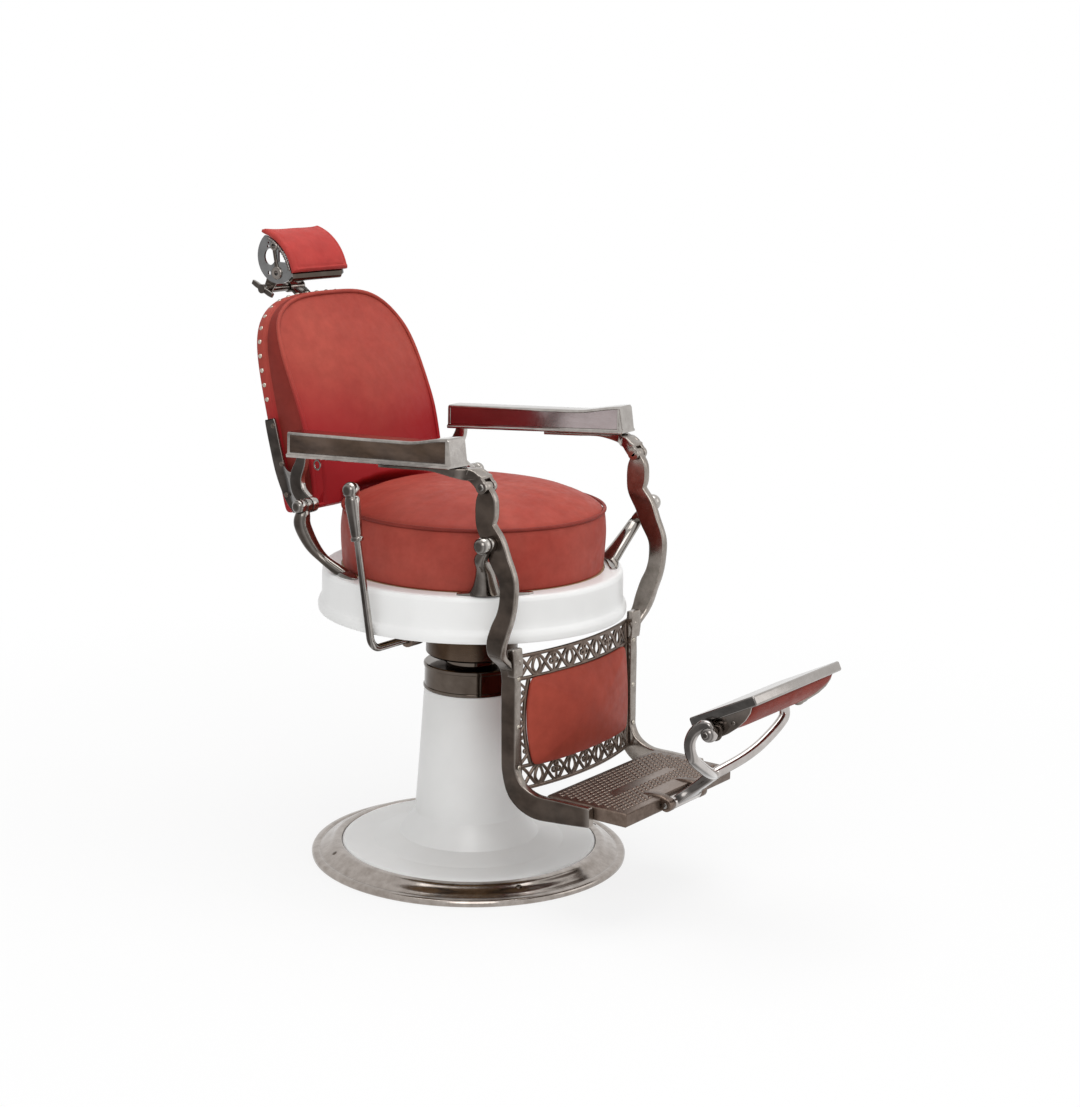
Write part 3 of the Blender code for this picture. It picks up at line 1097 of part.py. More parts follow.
def make_foot_pad():
    def pad_point(x, along, under):
        return Vector((x, 0, 0)) + PAD_REAR + pad_ahead * along - pad_over * under

    def tilted_block(x0, x1, along0, along1, under0, under1):
        return loft([[pad_point(x, along, under) for along, under in (
            (along0, under0), (along1, under0), (along1, under1), (along0, under1))] for x in (x0, x1)])
    half, wall = FOOT_PAD_HALF, FOOT_PAD_WALL
    tray = bevelled(tilted_block(-half, half, 0, FOOT_PAD_LENGTH, 0, FOOT_PAD_RIM), 0.0025)
    room = tilted_block(-half + wall, half - wall, wall, FOOT_PAD_LENGTH - wall,
                        FOOT_PAD_SKIN, FOOT_PAD_RIM + 0.01)
    finish("foot_pad_tray", cut(tray, room), NICKEL, FOOT)

    # Quarter-round cheeks inside the tray, pivoted on the ball joints
    cheek_out = half - wall - GAP
    cheek_in = cheek_out - CHEEK_THICK
    hinge = PAD_PIVOT - PAD_REAR
    hinge_along, hinge_under = hinge.dot(pad_ahead), -hinge.dot(pad_over)
    boss = 0.0125
    start = FOOT_PAD_SKIN + GAP
    front = FOOT_PAD_LENGTH - wall - 0.004
    outline = [(wall + 0.012, start), (front, start)]
    outline += [(hinge_along + (front - hinge_along) * cos(a), start + (hinge_under + boss - start) * sin(a))
                for a in (pi / 2 * k / 6 for k in range(1, 6))]
    outline += [(hinge_along - boss * sin(a), hinge_under + boss * cos(a))
                for a in (pi / 2 * k / 4 for k in range(5))]
    cheek = loft([[pad_point(x, along, under) for along, under in outline] for x in (cheek_in, cheek_out)])
    finish_pair("foot_pad_cheek", cut(cheek, pin_hole(cheek_in, cheek_out, PAD_PIVOT)), NICKEL, FOOT)

    # Stuffed underside, deepest near the ball joints and rounded to the front
    side = cheek_in - GAP - 0.002
    low, high = wall + 0.002, FOOT_PAD_LENGTH - wall - 0.002

    def depth(u, v):
        a = 2 * u - 1
        ends = 1 - abs(a) ** 6
        profile = 0.42 + 0.58 * (sin(pi * min(1.0, v * 0.80 + 0.16)) ** 0.8)
        return (FOOT_PAD_STUFFING - FOOT_PAD_SKIN) * profile * (0.55 + 0.45 * ends)

    def face(u, v):
        return pad_point((2 * u - 1) * side, low + (high - low) * v, FOOT_PAD_SKIN + GAP + depth(u, v))

    def back(u, v):
        return pad_point((2 * u - 1) * side, low + (high - low) * v, FOOT_PAD_SKIN + GAP)
    finish("foot_pad_cushion", slab(face, back, 12, 8), LEATHER, FOOT)


# Headrest
def make_headrest():
    # Flat bar in the socket, bent back at its top into the hinge eye
    mid = -HEAD_BAR_BEHIND - HEAD_BAR_THICK / 2
    shelf = HEAD_HINGE_UP - HEAD_BAR_LENGTH
    knots = [(0, *back_point(0, up, ahead).yz, HEAD_BAR_THICK, HEAD_BAR_WIDTH)
             for up, ahead in ((shelf, mid), (0.65 * HEAD_HINGE_UP, mid), (0.83 * HEAD_HINGE_UP, mid),
                               (0.88 * HEAD_HINGE_UP, mid - 0.002), (0.932 * HEAD_HINGE_UP, mid - 0.014),
                               (0.975 * HEAD_HINGE_UP, -HEAD_HINGE_BEHIND + 0.012),
                               (HEAD_HINGE_UP, -HEAD_HINGE_BEHIND))]
    eye_half = HEAD_BAR_WIDTH / 2
    eye = cross_pin(-eye_half + 0.0003, eye_half - 0.0003, HEAD_ROD_RADIUS + 0.0055, HEAD_HINGE, EYE_STEPS)
    hole = cross_pin(-0.05, 0.05, HEAD_ROD_RADIUS + BORE_PLAY, HEAD_HINGE)
    finish("headrest_bar", cut(fused(flat_bar(knots, 2, 0.0015), eye), hole), NICKEL, HEAD_BAR)

    # Side plates: round, cut by the pad's inner curve, with openings; the right one has a tab to the hinge
    plate_out = HEAD_HALF
    plate_in = plate_out - HEAD_PLATE
    centre = HEAD_HINGE + Vector((0, HEAD_PLATE_Y, HEAD_PLATE_Z))
    inner_curve = HEAD_PAD_RADIUS - HEAD_PAD_THICK - GAP - 0.0005
    outline = []
    for k in range(30):
        spot = centre + HEAD_PLATE_RADIUS * Vector((0, cos(2 * pi * k / 30), sin(2 * pi * k / 30)))
        reach = spot - HEAD_PAD_CENTRE
        if reach.length > inner_curve:
            spot = HEAD_PAD_CENTRE + reach.normalized() * inner_curve
        outline.append((spot.y, spot.z))
    plate_mid, tab_thick = plate_in + HEAD_PLATE / 2, HEAD_PLATE - 0.0004
    tab = flat_bar([(plate_mid, HEAD_HINGE.y - ahead, HEAD_HINGE.z + up, width, tab_thick)
                    for ahead, up, width in ((0, 0, 0.022), (0.010, 0.020, 0.026), (0.018, 0.036, 0.034))],
                   2, 0.0004)
    tab_end = cross_pin(plate_in + 0.0001, plate_out - 0.0001, 0.0110, HEAD_HINGE, EYE_STEPS)

    def opening(y, z, radius, sides=16, spin=0.0, squeeze=1.0):
        ring = [(centre.y + y + radius * cos(spin + 2 * pi * k / sides),
                 centre.z + z + radius * squeeze * sin(spin + 2 * pi * k / sides)) for k in range(sides)]
        return prism(ring, plate_in - 0.01, plate_out + 0.01)
    def pierced():
        return cut(prism(outline, plate_in, plate_out),
                   opening(0.019, 0.005, 0.0125), opening(0.004, 0.026, 0.0040, 10),
                   opening(-0.0135, 0.006, 0.0155, 3, radians(200), 0.85),
                   opening(-0.004, -0.028, 0.0042, 10))
    hole = cross_pin(plate_in - 0.01, plate_out + 0.01, HEAD_ROD_RADIUS + BORE_PLAY, HEAD_HINGE)
    finish("headrest_plate_right", mirrored(cut(fused(pierced(), tab, tab_end), hole)), NICKEL, HEAD)
    finish("headrest_plate_left", pierced(), NICKEL, HEAD)

    # Hinge rod with its clamping barrel, and the bar under the pad
    rod = HEAD_ROD_RADIUS
    barrel = rod + 0.003
    near = -plate_in + 2 * GAP
    start = -eye_half - 2 * GAP
    outline = [(rod, -plate_out - 0.010), (rod, near), (barrel, near), (barrel, start), (rod, start),
               (rod, eye_half + 0.005)]
    finish("headrest_hinge_rod", along_x(turned_solid(outline, PIN_STEPS), HEAD_HINGE), NICKEL, HEAD)
    bar_at = centre + Vector((0, -0.0290, -0.0290))
    finish("headrest_front_bar", cross_pin(-plate_in + GAP, plate_in - GAP, 0.0055, bar_at), IRON, HEAD)

    # Curved pad over the plates, thinner at its rolled edges
    def curve(radius_at):
        def point(u, v):
            angle = HEAD_PAD_START + (HEAD_PAD_END - HEAD_PAD_START) * v
            radius = radius_at(u, v)
            out = Vector((0, radius * cos(angle), radius * sin(angle)))
            return HEAD_PAD_CENTRE + out + Vector((HEAD_PAD_HALF * (2 * u - 1), 0, 0))
        return point

    def swell(u, v):
        return HEAD_PAD_RADIUS - 0.006 * ((2 * u - 1) ** 6 + abs(2 * v - 1) ** 8) / 2

    def lining(u, v):
        return HEAD_PAD_RADIUS - HEAD_PAD_THICK
    finish("headrest_pad", slab(curve(swell), curve(lining), 10, 9), LEATHER, HEAD)

    # Wing screw on the right end of the hinge rod
    x0 = -plate_out - 2 * GAP
    hub = cross_pin(x0 - 0.018, x0, rod + 0.0030, HEAD_HINGE, EYE_STEPS)
    socket = cross_pin(-plate_out - 0.010 - GAP, x0 + 0.01, rod + BORE_PLAY, HEAD_HINGE)
    wing_x = x0 - 0.0132
    slope = radians(25)
    reach = Vector((0, cos(slope), sin(slope))) * CLAMP_WING
    sections = ((-1, 0.009, 0.006), (-0.6, 0.0115, 0.0065), (0, 0.010, 0.007), (0.6, 0.0115, 0.0065),
                (1, 0.009, 0.006))
    wing = flat_bar([(wing_x, *(HEAD_HINGE + reach * share).yz, width, thick)
                     for share, width, thick in sections], 2, 0.002)
    finish("clamp_screw", cut(fused(hub, wing), socket), NICKEL, CLAMP)


make_base()
make_seat()
make_lever()
make_back()
make_arms()
make_leg_irons()
make_leg_panel()
make_platform()
make_yoke()
make_foot_pad()
make_headrest()
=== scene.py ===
"""Looks of the barber chair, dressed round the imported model.

Metres, +Z up. The sitter faces -Y and the pump lever is at -X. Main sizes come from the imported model's boxes
and joints or from named values, and each new piece rides on the body of the nodes that it stands for.
"""
import json
from math import cos, pi, radians, sin, sqrt

import bmesh
import bpy
from mathutils import Matrix, Vector, noise


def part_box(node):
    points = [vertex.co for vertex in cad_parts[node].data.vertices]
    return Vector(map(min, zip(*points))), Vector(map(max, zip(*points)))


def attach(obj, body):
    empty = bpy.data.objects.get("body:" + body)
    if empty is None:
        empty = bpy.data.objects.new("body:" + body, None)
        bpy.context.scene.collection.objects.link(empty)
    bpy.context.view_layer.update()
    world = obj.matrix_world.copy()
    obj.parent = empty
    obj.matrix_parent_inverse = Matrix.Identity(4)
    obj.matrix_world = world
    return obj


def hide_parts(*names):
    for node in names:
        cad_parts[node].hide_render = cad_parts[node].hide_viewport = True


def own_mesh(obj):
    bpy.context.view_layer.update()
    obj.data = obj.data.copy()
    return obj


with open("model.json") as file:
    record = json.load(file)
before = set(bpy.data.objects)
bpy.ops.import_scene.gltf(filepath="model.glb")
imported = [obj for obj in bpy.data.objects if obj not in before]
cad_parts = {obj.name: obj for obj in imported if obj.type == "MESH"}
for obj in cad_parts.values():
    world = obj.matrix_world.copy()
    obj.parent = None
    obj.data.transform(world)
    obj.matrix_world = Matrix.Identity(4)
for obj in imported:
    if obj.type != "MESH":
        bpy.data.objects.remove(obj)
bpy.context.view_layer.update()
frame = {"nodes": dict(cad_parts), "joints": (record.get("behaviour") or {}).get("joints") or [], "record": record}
NODES = frame["nodes"]
BODY_OF = {node: body for body, nodes in frame["record"]["behaviour"]["bodies"].items() for node in nodes}
ANCHORS = {joint["name"]: Vector(joint["pos_m"]) for joint in frame["joints"] if "pos_m" in joint}
BOXES = {node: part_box(node) for node in NODES}
SIDES = ("right", "left")

# Camera, fitted to the photograph
PHOTO_HEIGHT = 1107
CAMERA_PLACE = Vector((-3.2518, -2.4670, 1.4722))
CAMERA_HEADING = radians(-54.59)
CAMERA_PITCH = radians(-12.11)
CAMERA_ROLL = radians(1.26)
FOCAL_PIXELS = 2197.8
SENSOR = 36.0

# Light: a white studio
AMBIENT = 0.56
FLOOR_Z = -0.0006
FLOOR_HALF = 30.0
FLOOR_NEAR, FLOOR_FAR = 0.80, 1.0   # share of the floor's own white that is seen, by the chair and away
LAMP_AIM = Vector((0, -0.05, 0.60))
LAMPS = (("key", (-3.0, -2.6, 3.3), 2.4, 58.0), ("fill", (2.2, -3.4, 2.2), 2.4, 15.0),
         ("top", (0.0, -0.2, 3.7), 2.6, 56.0))

# Pivots, irons and stands
LEG_PIVOT = ANCHORS["leg_swing"]
BACK_PIVOT = ANCHORS["recline"]
ARM_REAR = ANCHORS["arm_left_level"]
ARM_FRONT = LEG_PIVOT + ARM_REAR - BACK_PIVOT
YOKE_PIVOT = ANCHORS["yoke_fold"]
PAD_PIVOT = ANCHORS["foot_pad_tilt"]
HEAD_HINGE = ANCHORS["headrest_tilt"]
LEVER_PIVOT = ANCHORS["pump_lever"]
IRON_X = 0.240              # middle of the irons at the pivots
IRON_THICK = 0.0155
STAND_IN, STAND_OUT = 0.2481, 0.2616
LEG_HALF = 0.1865           # middle of the irons beside the panel

# Turning and rounding
LATHE_STEPS = 144
RING_STEPS = 192            # of the two wide rings
CORNER_STEPS = 3            # of a bar's rounded corners
EDGE_ANGLE = radians(28)    # edges of a CAD node that are rounded
FLAT_ANGLE = radians(0.5)   # faces of a CAD node that are merged first
SAME_SPOT = 0.00001
BALL_STEPS = 40
ROUNDING_PASSES = 4         # over the corners of a padded outline
DOME_SINK = 0.0006          # heads of nails and screws, below their seats
THROAT_RADIUS = 0.105       # column just above the flare
FLARE_HEIGHT = 0.100
COLUMN_RADIUS = 0.0905      # at its top
COLLAR_BORE = 0.0524
SEAT_SIDE = 0.113           # seat pad's base to its welt
WELT = 0.0034               # radius of the piped seams

# Back, along its slope: up from the foot line and ahead of the rear face of its board
BACK_TILT = radians(14.5)
BACK_UP = Vector((0, sin(BACK_TILT), cos(BACK_TILT)))
BACK_AHEAD = Vector((0, -cos(BACK_TILT), sin(BACK_TILT)))
BACK_FOOT = Vector((0, 0.292, 0.690))
BACK_HALF = 0.200
BACK_HEIGHT = 0.386
BACK_SHOULDER = 0.196
BACK_DROP = 0.028           # lower corners under the foot line
BACK_POWER = 3.2            # of the rounded top
BACK_MIDDLE = Vector((0, 0.165))
BACK_OVAL = Vector((0.145, 0.155))
RECLINE = radians(40.0)
FOOT_DOWN = BACK_PIVOT + Matrix.Rotation(-RECLINE, 3, "X") @ (BACK_FOOT - BACK_PIVOT)
SLOPE_DOWN = BACK_TILT + RECLINE
SEAT_REACH = 0.2535         # seat pad with a clearance
EDGE_DEPTH = 0.0205         # back's lower edge, which has to pass behind the seat
LEAST_DEPTH = 0.014         # of the stuffing
BAND_REAR, BAND_FRONT = -0.0115, 0.0065  # nailed band round the back's edge
BOXING_INSET = 0.005        # boxing stands in from the band
NAIL_PITCH = 0.0262
NAIL_RADIUS = 0.0047
NAIL_START = 0.166

# Arms
ARM_BODIES = {"left": "arm_left", "right": "arm_right"}
ARM_TAIL = 0.0208           # behind the rear pivot
ARM_SETBACK = 0.0457        # nose behind the front pivot
ARM_LENGTH = ARM_REAR.y + ARM_TAIL - ARM_FRONT.y - ARM_SETBACK
ARM_HALF = 0.0225
ARM_SPLAY = radians(4.0)
ARM_SINK = 0.0014           # side panels
ARM_MARGIN = 0.0065         # side panels to the ends
ARM_ROOT = Matrix.Translation(ARM_REAR + Vector((IRON_X, 0, 0))) @ Matrix.Rotation(ARM_SPLAY, 4, "Z")

# Leg panel, foot platform, yoke and foot pad
PANEL_LOW, PANEL_HIGH = BOXES["leg_panel"]
PANEL_BAND = 0.048
PANEL_RAIL = 0.0068
PANEL_THICK = 0.0060
STRAND_POWER = 0.7          # squareness of a strand's section
WAVES = 4
STRIP_WAVES = 3
SCALE_SIZE = (0.0060, 0.0041, 0.0017, 1)
STRIP_REACH, STRIP_HALF = 0.100, 0.013  # bare strip across the platform
HORN_REACH, HORN_DEPTH = 0.066, 0.030   # bare place between the platform's horns
FOOT_TILT = radians(26.5)
YOKE_BALL_X, YOKE_BALL_RADIUS = 0.1602, 0.0150

# Headrest: a pad on an arc about a centre, and two round plates
HEAD_CENTRE = HEAD_HINGE + Vector((0, 0.0302, 0.0121))
HEAD_OUTER, HEAD_THICK = 0.108, 0.014
HEAD_START, HEAD_END = radians(104.0), radians(167.0)
HEAD_HEM = 0.0095
PLATE_CURVE = HEAD_OUTER - HEAD_THICK - 0.0008
PLATE_MIDDLE = HEAD_HINGE + Vector((0, -0.0255, 0.0625))
PLATE_RADIUS = 0.0515
PLATE_IN, PLATE_OUT = (corner.x for corner in BOXES["headrest_plate_left"])


# Meshes
def turns(count):
    """Cosine and sine at even steps round a circle."""
    return [(cos(2 * pi * k / count), sin(2 * pi * k / count)) for k in range(count)]


def shares(count, first=0):
    """Even shares up to 1, from 0 or from a later step."""
    return [k / count for k in range(first, count + 1)]


def moved(points, across, up):
    return [(across + a, up + b) for a, b in points]


def grid(rows, columns, place):
    """Rows of points, each placed by its share of the rows and of the columns."""
    return [[place(v, u) for u in shares(columns)] for v in shares(rows)]


def curve_through(knots, per_span, closed=False):
    """Points on a smooth curve through the knots, of any number of columns."""
    knots = [tuple(k) for k in knots]
    if closed:
        around = [knots[-1], *knots, knots[0], knots[1]]
    else:
        start = tuple(2 * a - b for a, b in zip(knots[0], knots[1]))
        end = tuple(2 * a - b for a, b in zip(knots[-1], knots[-2]))
        around = [start, *knots, end]
    points = []
    for i in range(1, len(around) - 2):
        for k in range(per_span):
            t = k / per_span
            points.append(tuple(
                0.5 * (2 * b + (c - a) * t + (2 * a - 5 * b + 4 * c - d) * t ** 2
                       + (3 * b - a - 3 * c + d) * t ** 3)
                for a, b, c, d in zip(*around[i - 1:i + 3])))
    if not closed:
        points.append(knots[-1])
    return points


def skin(rings, round_along=False):
    """Closed mesh over a list of equal rings of points; a ring of one spot becomes a pole."""
    bm = bmesh.new()
    lines = [[bm.verts.new(p) for p in ring] for ring in rings]
    pairs = list(zip(lines, lines[1:]))
    if round_along:
        pairs.append((lines[-1], lines[0]))
    for lower, upper in pairs:
        for k in range(len(lower)):
            n = (k + 1) % len(lower)
            bm.faces.new((lower[k], lower[n], upper[n], upper[k]))
    if not round_along:
        bm.faces.new(list(reversed(lines[0])))
        bm.faces.new(lines[-1])
    bmesh.ops.remove_doubles(bm, verts=bm.verts, dist=SAME_SPOT)
    bmesh.ops.recalc_face_normals(bm, faces=bm.faces)
    return bm


def slab(front, back):
    """Closed sheet between two equal grids of points."""
    bm = bmesh.new()
    grids = [[[bm.verts.new(p) for p in line] for line in points] for points in (front, back)]
    rows, columns = len(front) - 1, len(front[0]) - 1
    for verts in grids:
        for j in range(rows):
            for i in range(columns):
                bm.faces.new((verts[j][i], verts[j][i + 1], verts[j + 1][i + 1], verts[j + 1][i]))
    rim = [(j, 0) for j in range(rows)] + [(rows, i) for i in range(columns)]
    rim += [(j, columns) for j in range(rows, 0, -1)] + [(0, i) for i in range(columns, 0, -1)]
    for k, (j, i) in enumerate(rim):
        nj, ni = rim[(k + 1) % len(rim)]
        bm.faces.new((grids[0][j][i], grids[0][nj][ni], grids[1][nj][ni], grids[1][j][i]))
    bmesh.ops.recalc_face_normals(bm, faces=bm.faces)
    return bm


def lathe(profile, steps=LATHE_STEPS, hollow=True):
    """Body turned about Z from (radius, height): a closed outline, or an open one between flat ends."""
    if hollow:
        return skin([[(r * c, r * s, z) for r, z in profile] for c, s in turns(steps)], round_along=True)
    return skin([[(r * c, r * s, z) for c, s in turns(steps)] for r, z in profile])


def rod(points, radius, sides, closed=False):
    """Round rod along points; the radius is a number or a list."""
    count = len(points)
    points = [Vector(p) for p in points]
    radii = radius if isinstance(radius, list) else [radius] * count
    across = None
    rings = []
    for i, point in enumerate(points):
        after = points[(i + 1) % count] if closed else points[min(i + 1, count - 1)]
        before = points[i - 1] if closed or i else points[0]
        run = (after - before).normalized()
        if across is None:
            across = run.orthogonal().normalized()
        across = (across - run * across.dot(run)).normalized()
        third = run.cross(across)
        rings.append([point + radii[i] * (across * c + third * s) for c, s in turns(sides)])
    return skin(rings, round_along=closed)


def rounded_box(wide, deep, soft):
    """Section of a bar with rounded corners."""
    soft = min(soft, 0.49 * wide, 0.49 * deep)
    points = []
    for k, (sx, sy) in enumerate(((1, 1), (-1, 1), (-1, -1), (1, -1))):
        for share in shares(CORNER_STEPS):
            a = pi / 2 * (k + share)
            points.append((sx * (wide / 2 - soft) + soft * cos(a), sy * (deep / 2 - soft) + soft * sin(a)))
    return points


def bar(knots, per_span=8, soft=0.0030):
    """Forged bar in an upright plane, from knots of (x, y, z, width, thickness across X), softly edged."""
    stations = curve_through(knots, per_span)
    last = len(stations) - 1
    rings = []
    for i, (x, y, z, width, thick) in enumerate(stations):
        before, after = stations[max(i - 1, 0)], stations[min(i + 1, last)]
        run = Vector((0, after[1] - before[1], after[2] - before[2])).normalized()
        side = Vector((0, -run.z, run.y))
        sections = [(0, 0)]
        if i == 0:
            sections.insert(0, (soft, -soft / 2))
        if i == last:
            sections.append((soft, soft / 2))
        for shrink, push in sections:
            middle = Vector((x, y, z)) + run * push
            rings.append([middle + side * a + Vector((b, 0, 0))
                          for a, b in rounded_box(width - shrink, thick - shrink, soft)])
    return skin(rings)


def across_x(bm, place):
    """Lay a body made about Z along X at a pivot."""
    bm.transform(Matrix.Translation((0, place.y, place.z)) @ Matrix.Rotation(pi / 2, 4, "Y"))
    return bm


def boss(place, x0, x1, radius, soft=0.0010, steps=40):
    """Round boss along X with softened edges."""
    near = 0.3 * soft
    outline = [(radius - soft, x0), (radius - near, x0 + near), (radius, x0 + soft),
               (radius, x1 - soft), (radius - near, x1 - near), (radius - soft, x1)]
    return across_x(lathe(outline, steps, hollow=False), place)


def ball(place, radius):
    bm = bmesh.new()
    bmesh.ops.create_uvsphere(bm, u_segments=BALL_STEPS, v_segments=BALL_STEPS // 2, radius=radius)
    bmesh.ops.translate(bm, verts=bm.verts, vec=place)
    return bm


def dome(place, up, radius, height, steps=14):
    """Domed head of a nail or a screw, at a place and along a direction."""
    rings = []
    for angle in (0, 0.35, 0.75, 1.15, pi / 2):
        r, z = radius * cos(angle), height * sin(angle) - DOME_SINK
        rings.append([(r * c, r * s, z) for c, s in turns(steps)])
    bm = skin(rings)
    bm.transform(Matrix.Translation(place) @ Vector(up).to_track_quat("Z", "Y").to_matrix().to_4x4())
    return bm


def pierced(outline, holes, x0, x1):
    """Flat plate across X from an outline and holes of (y, z) points."""
    bm = bmesh.new()
    edges = []
    for loop in (outline, *holes):
        verts = [bm.verts.new((x0, y, z)) for y, z in loop]
        edges += [bm.edges.new((verts[i - 1], verts[i])) for i in range(len(verts))]
    bmesh.ops.triangle_fill(bm, use_beauty=True, use_dissolve=False, edges=edges, normal=(1, 0, 0))
    made = bmesh.ops.extrude_face_region(bm, geom=list(bm.faces), use_keep_orig=True)
    shifted = [v for v in made["geom"] if isinstance(v, bmesh.types.BMVert)]
    bmesh.ops.translate(bm, verts=shifted, vec=(x1 - x0, 0, 0))
    bmesh.ops.recalc_face_normals(bm, faces=bm.faces)
    return bm


def joined(*bodies):
    whole = bmesh.new()
    for body in bodies:
        mesh = bpy.data.meshes.new("part")
        body.to_mesh(mesh)
        body.free()
        whole.from_mesh(mesh)
        bpy.data.meshes.remove(mesh)
    return whole


def studs(spots, up, radius, height, steps=14):
    """Row of equal domed heads that face one way."""
    return joined(*(dome(spot, up, radius, height, steps) for spot in spots))


def in_scene(name, data):
    made = bpy.data.objects.new(name, data)
    bpy.context.scene.collection.objects.link(made)
    return made


def piece(name, bm, body, look, stands_for=(), sharp=32):
    """Make a piece from a mesh, ride it on its body and hide the nodes it stands for."""
    mesh = bpy.data.meshes.new(name)
    bm.to_mesh(mesh)
    bm.free()
    mesh.shade_smooth()
    mesh.set_sharp_from_angle(angle=radians(sharp))
    made = in_scene(name, mesh)
    mesh.materials.append(look)
    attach(made, body)
    if stands_for:
        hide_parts(*stands_for)
    return made


def both_sides(name, bm, bodies, look, node="", sharp=32):
    """Make a piece at +X and its mirror image at -X."""
    other = bm.copy()
    bmesh.ops.scale(other, vec=(-1, 1, 1), verts=other.verts)
    bmesh.ops.reverse_faces(other, faces=other.faces)
    for side, mesh in (("left", bm), ("right", other)):
        body = bodies[side] if isinstance(bodies, dict) else bodies
        piece(name + "_" + side, mesh, body, look, (node + "_" + side,) if node else (), sharp)


def refined(node, look, bevel=0.0008, segments=2):
    """Copy of a CAD node with rounded edges, which stands for the node."""
    bm = bmesh.new()
    bm.from_mesh(NODES[node].data)
    bmesh.ops.remove_doubles(bm, verts=bm.verts, dist=SAME_SPOT)
    if bevel:
        bmesh.ops.dissolve_limit(bm, angle_limit=FLAT_ANGLE, verts=bm.verts, edges=bm.edges)
        sharp = [e for e in bm.edges if len(e.link_faces) == 2 and e.calc_face_angle() > EDGE_ANGLE]
        bmesh.ops.bevel(bm, geom=sharp, offset=bevel, segments=segments, profile=0.5, affect="EDGES",
                        clamp_overlap=True)
    piece(node + "_finished", bm, BODY_OF[node], look, (node,), sharp=40)


# Materials
def new_material(name, slot):
    made = bpy.data.materials.new(name)
    made["slot"] = slot
    made.use_nodes = True
    tree = made.node_tree
    return made, tree, tree.nodes["Principled BSDF"]


def feed(tree, socket, value):
    """Link an output to an input, or set the input to a number or a colour."""
    if isinstance(value, bpy.types.NodeSocket):
        tree.links.new(value, socket)
    else:
        socket.default_value = (*value, 1.0) if socket.type == "RGBA" else value


def add(tree, kind, **values):
    """Add a node, setting its properties and feeding its inputs by name."""
    node = tree.nodes.new(kind)
    for key, value in values.items():
        if hasattr(node, key):
            setattr(node, key, value)
        else:
            feed(tree, node.inputs[key.replace("_", " ")], value)
    return node


def maths(tree, operation, *values):
    made = add(tree, "ShaderNodeMath", operation=operation)
    for socket, value in zip(made.inputs, values):
        feed(tree, socket, value)
    return made.outputs[0]


def coordinates(tree, kind="Object"):
    return add(tree, "ShaderNodeTexCoord").outputs[kind]


def split(tree, vector):
    return add(tree, "ShaderNodeSeparateXYZ", Vector=vector).outputs


def speckle(tree, scale, detail=4.0, rough=0.55, stretch=None):
    """Noise in the object's own metres."""
    place = coordinates(tree)
    if stretch:
        place = add(tree, "ShaderNodeMapping", Vector=place, Scale=stretch).outputs["Vector"]
    made = add(tree, "ShaderNodeTexNoise", Vector=place, Scale=scale, Detail=detail, Roughness=rough)
    return made.outputs["Fac"]


def ramp(tree, factor, *stops):
    made = add(tree, "ShaderNodeValToRGB", Fac=factor)
    elements = made.color_ramp.elements
    while len(elements) < len(stops):
        elements.new(0.5)
    for element, (place, colour) in zip(elements, stops):
        element.position = place
        element.color = (*colour, 1.0) if isinstance(colour, tuple) else (colour, colour, colour, 1.0)
    return made.outputs["Color"]


def eased(tree, value, start, end, low=0.0, high=1.0):
    made = add(tree, "ShaderNodeMapRange", interpolation_type="SMOOTHSTEP", Value=value, From_Min=start,
               From_Max=end, To_Min=low, To_Max=high)
    return made.outputs["Result"]


def blend_colours(tree, factor, first, second, mode="MIX"):
    made = add(tree, "ShaderNodeMix", data_type="RGBA", blend_type=mode)
    for place, value in ((0, factor), (6, first), (7, second)):
        feed(tree, made.inputs[place], value)
    return made.outputs[2]


def finish_shader(tree, shader, colour, roughness, height, strength, distance):
    """Give a shader its colour, its roughness and its fine relief."""
    feed(tree, shader.inputs["Base Color"], colour)
    feed(tree, shader.inputs["Roughness"], roughness)
    bump = add(tree, "ShaderNodeBump", Strength=strength, Distance=distance, Height=height)
    feed(tree, shader.inputs["Normal"], bump.outputs["Normal"])


def leather(name, pale, deep, painted_low_shade=None, low=0.0, high=1.0):
    """Old dyed leather: cloudy, with a fine grain, and with painted shade in a darker colour low down and towards
    the sides.
    """
    made, tree, shader = new_material(name, "red_leather")
    colour = ramp(tree, speckle(tree, 7.0, 5.0, 0.6), (0.30, deep), (0.70, pale))
    blotches = ramp(tree, speckle(tree, 34.0, 6.0, 0.65), (0.35, 0.82), (0.65, 1.10))
    colour = blend_colours(tree, 0.6, colour, blotches, "MULTIPLY")
    if painted_low_shade:
        # Painted shade: the darker colour takes over below a level that drops towards the sides.
        spot = split(tree, coordinates(tree))
        level = maths(tree, "MULTIPLY_ADD", maths(tree, "ABSOLUTE", spot["X"]), -0.30, spot["Z"])
        colour = blend_colours(tree, eased(tree, level, high, low), colour, painted_low_shade)
    gloss = ramp(tree, speckle(tree, 60.0, 5.0), (0.3, 0.46), (0.7, 0.62))
    shader.inputs["Specular IOR Level"].default_value = 0.14
    cells = add(tree, "ShaderNodeTexVoronoi", Scale=620.0, Vector=coordinates(tree))
    grain = blend_colours(tree, 0.5, cells.outputs["Distance"], speckle(tree, 260.0, 6.0))
    finish_shader(tree, shader, colour, gloss, grain, 0.22, 0.0006)
    return made


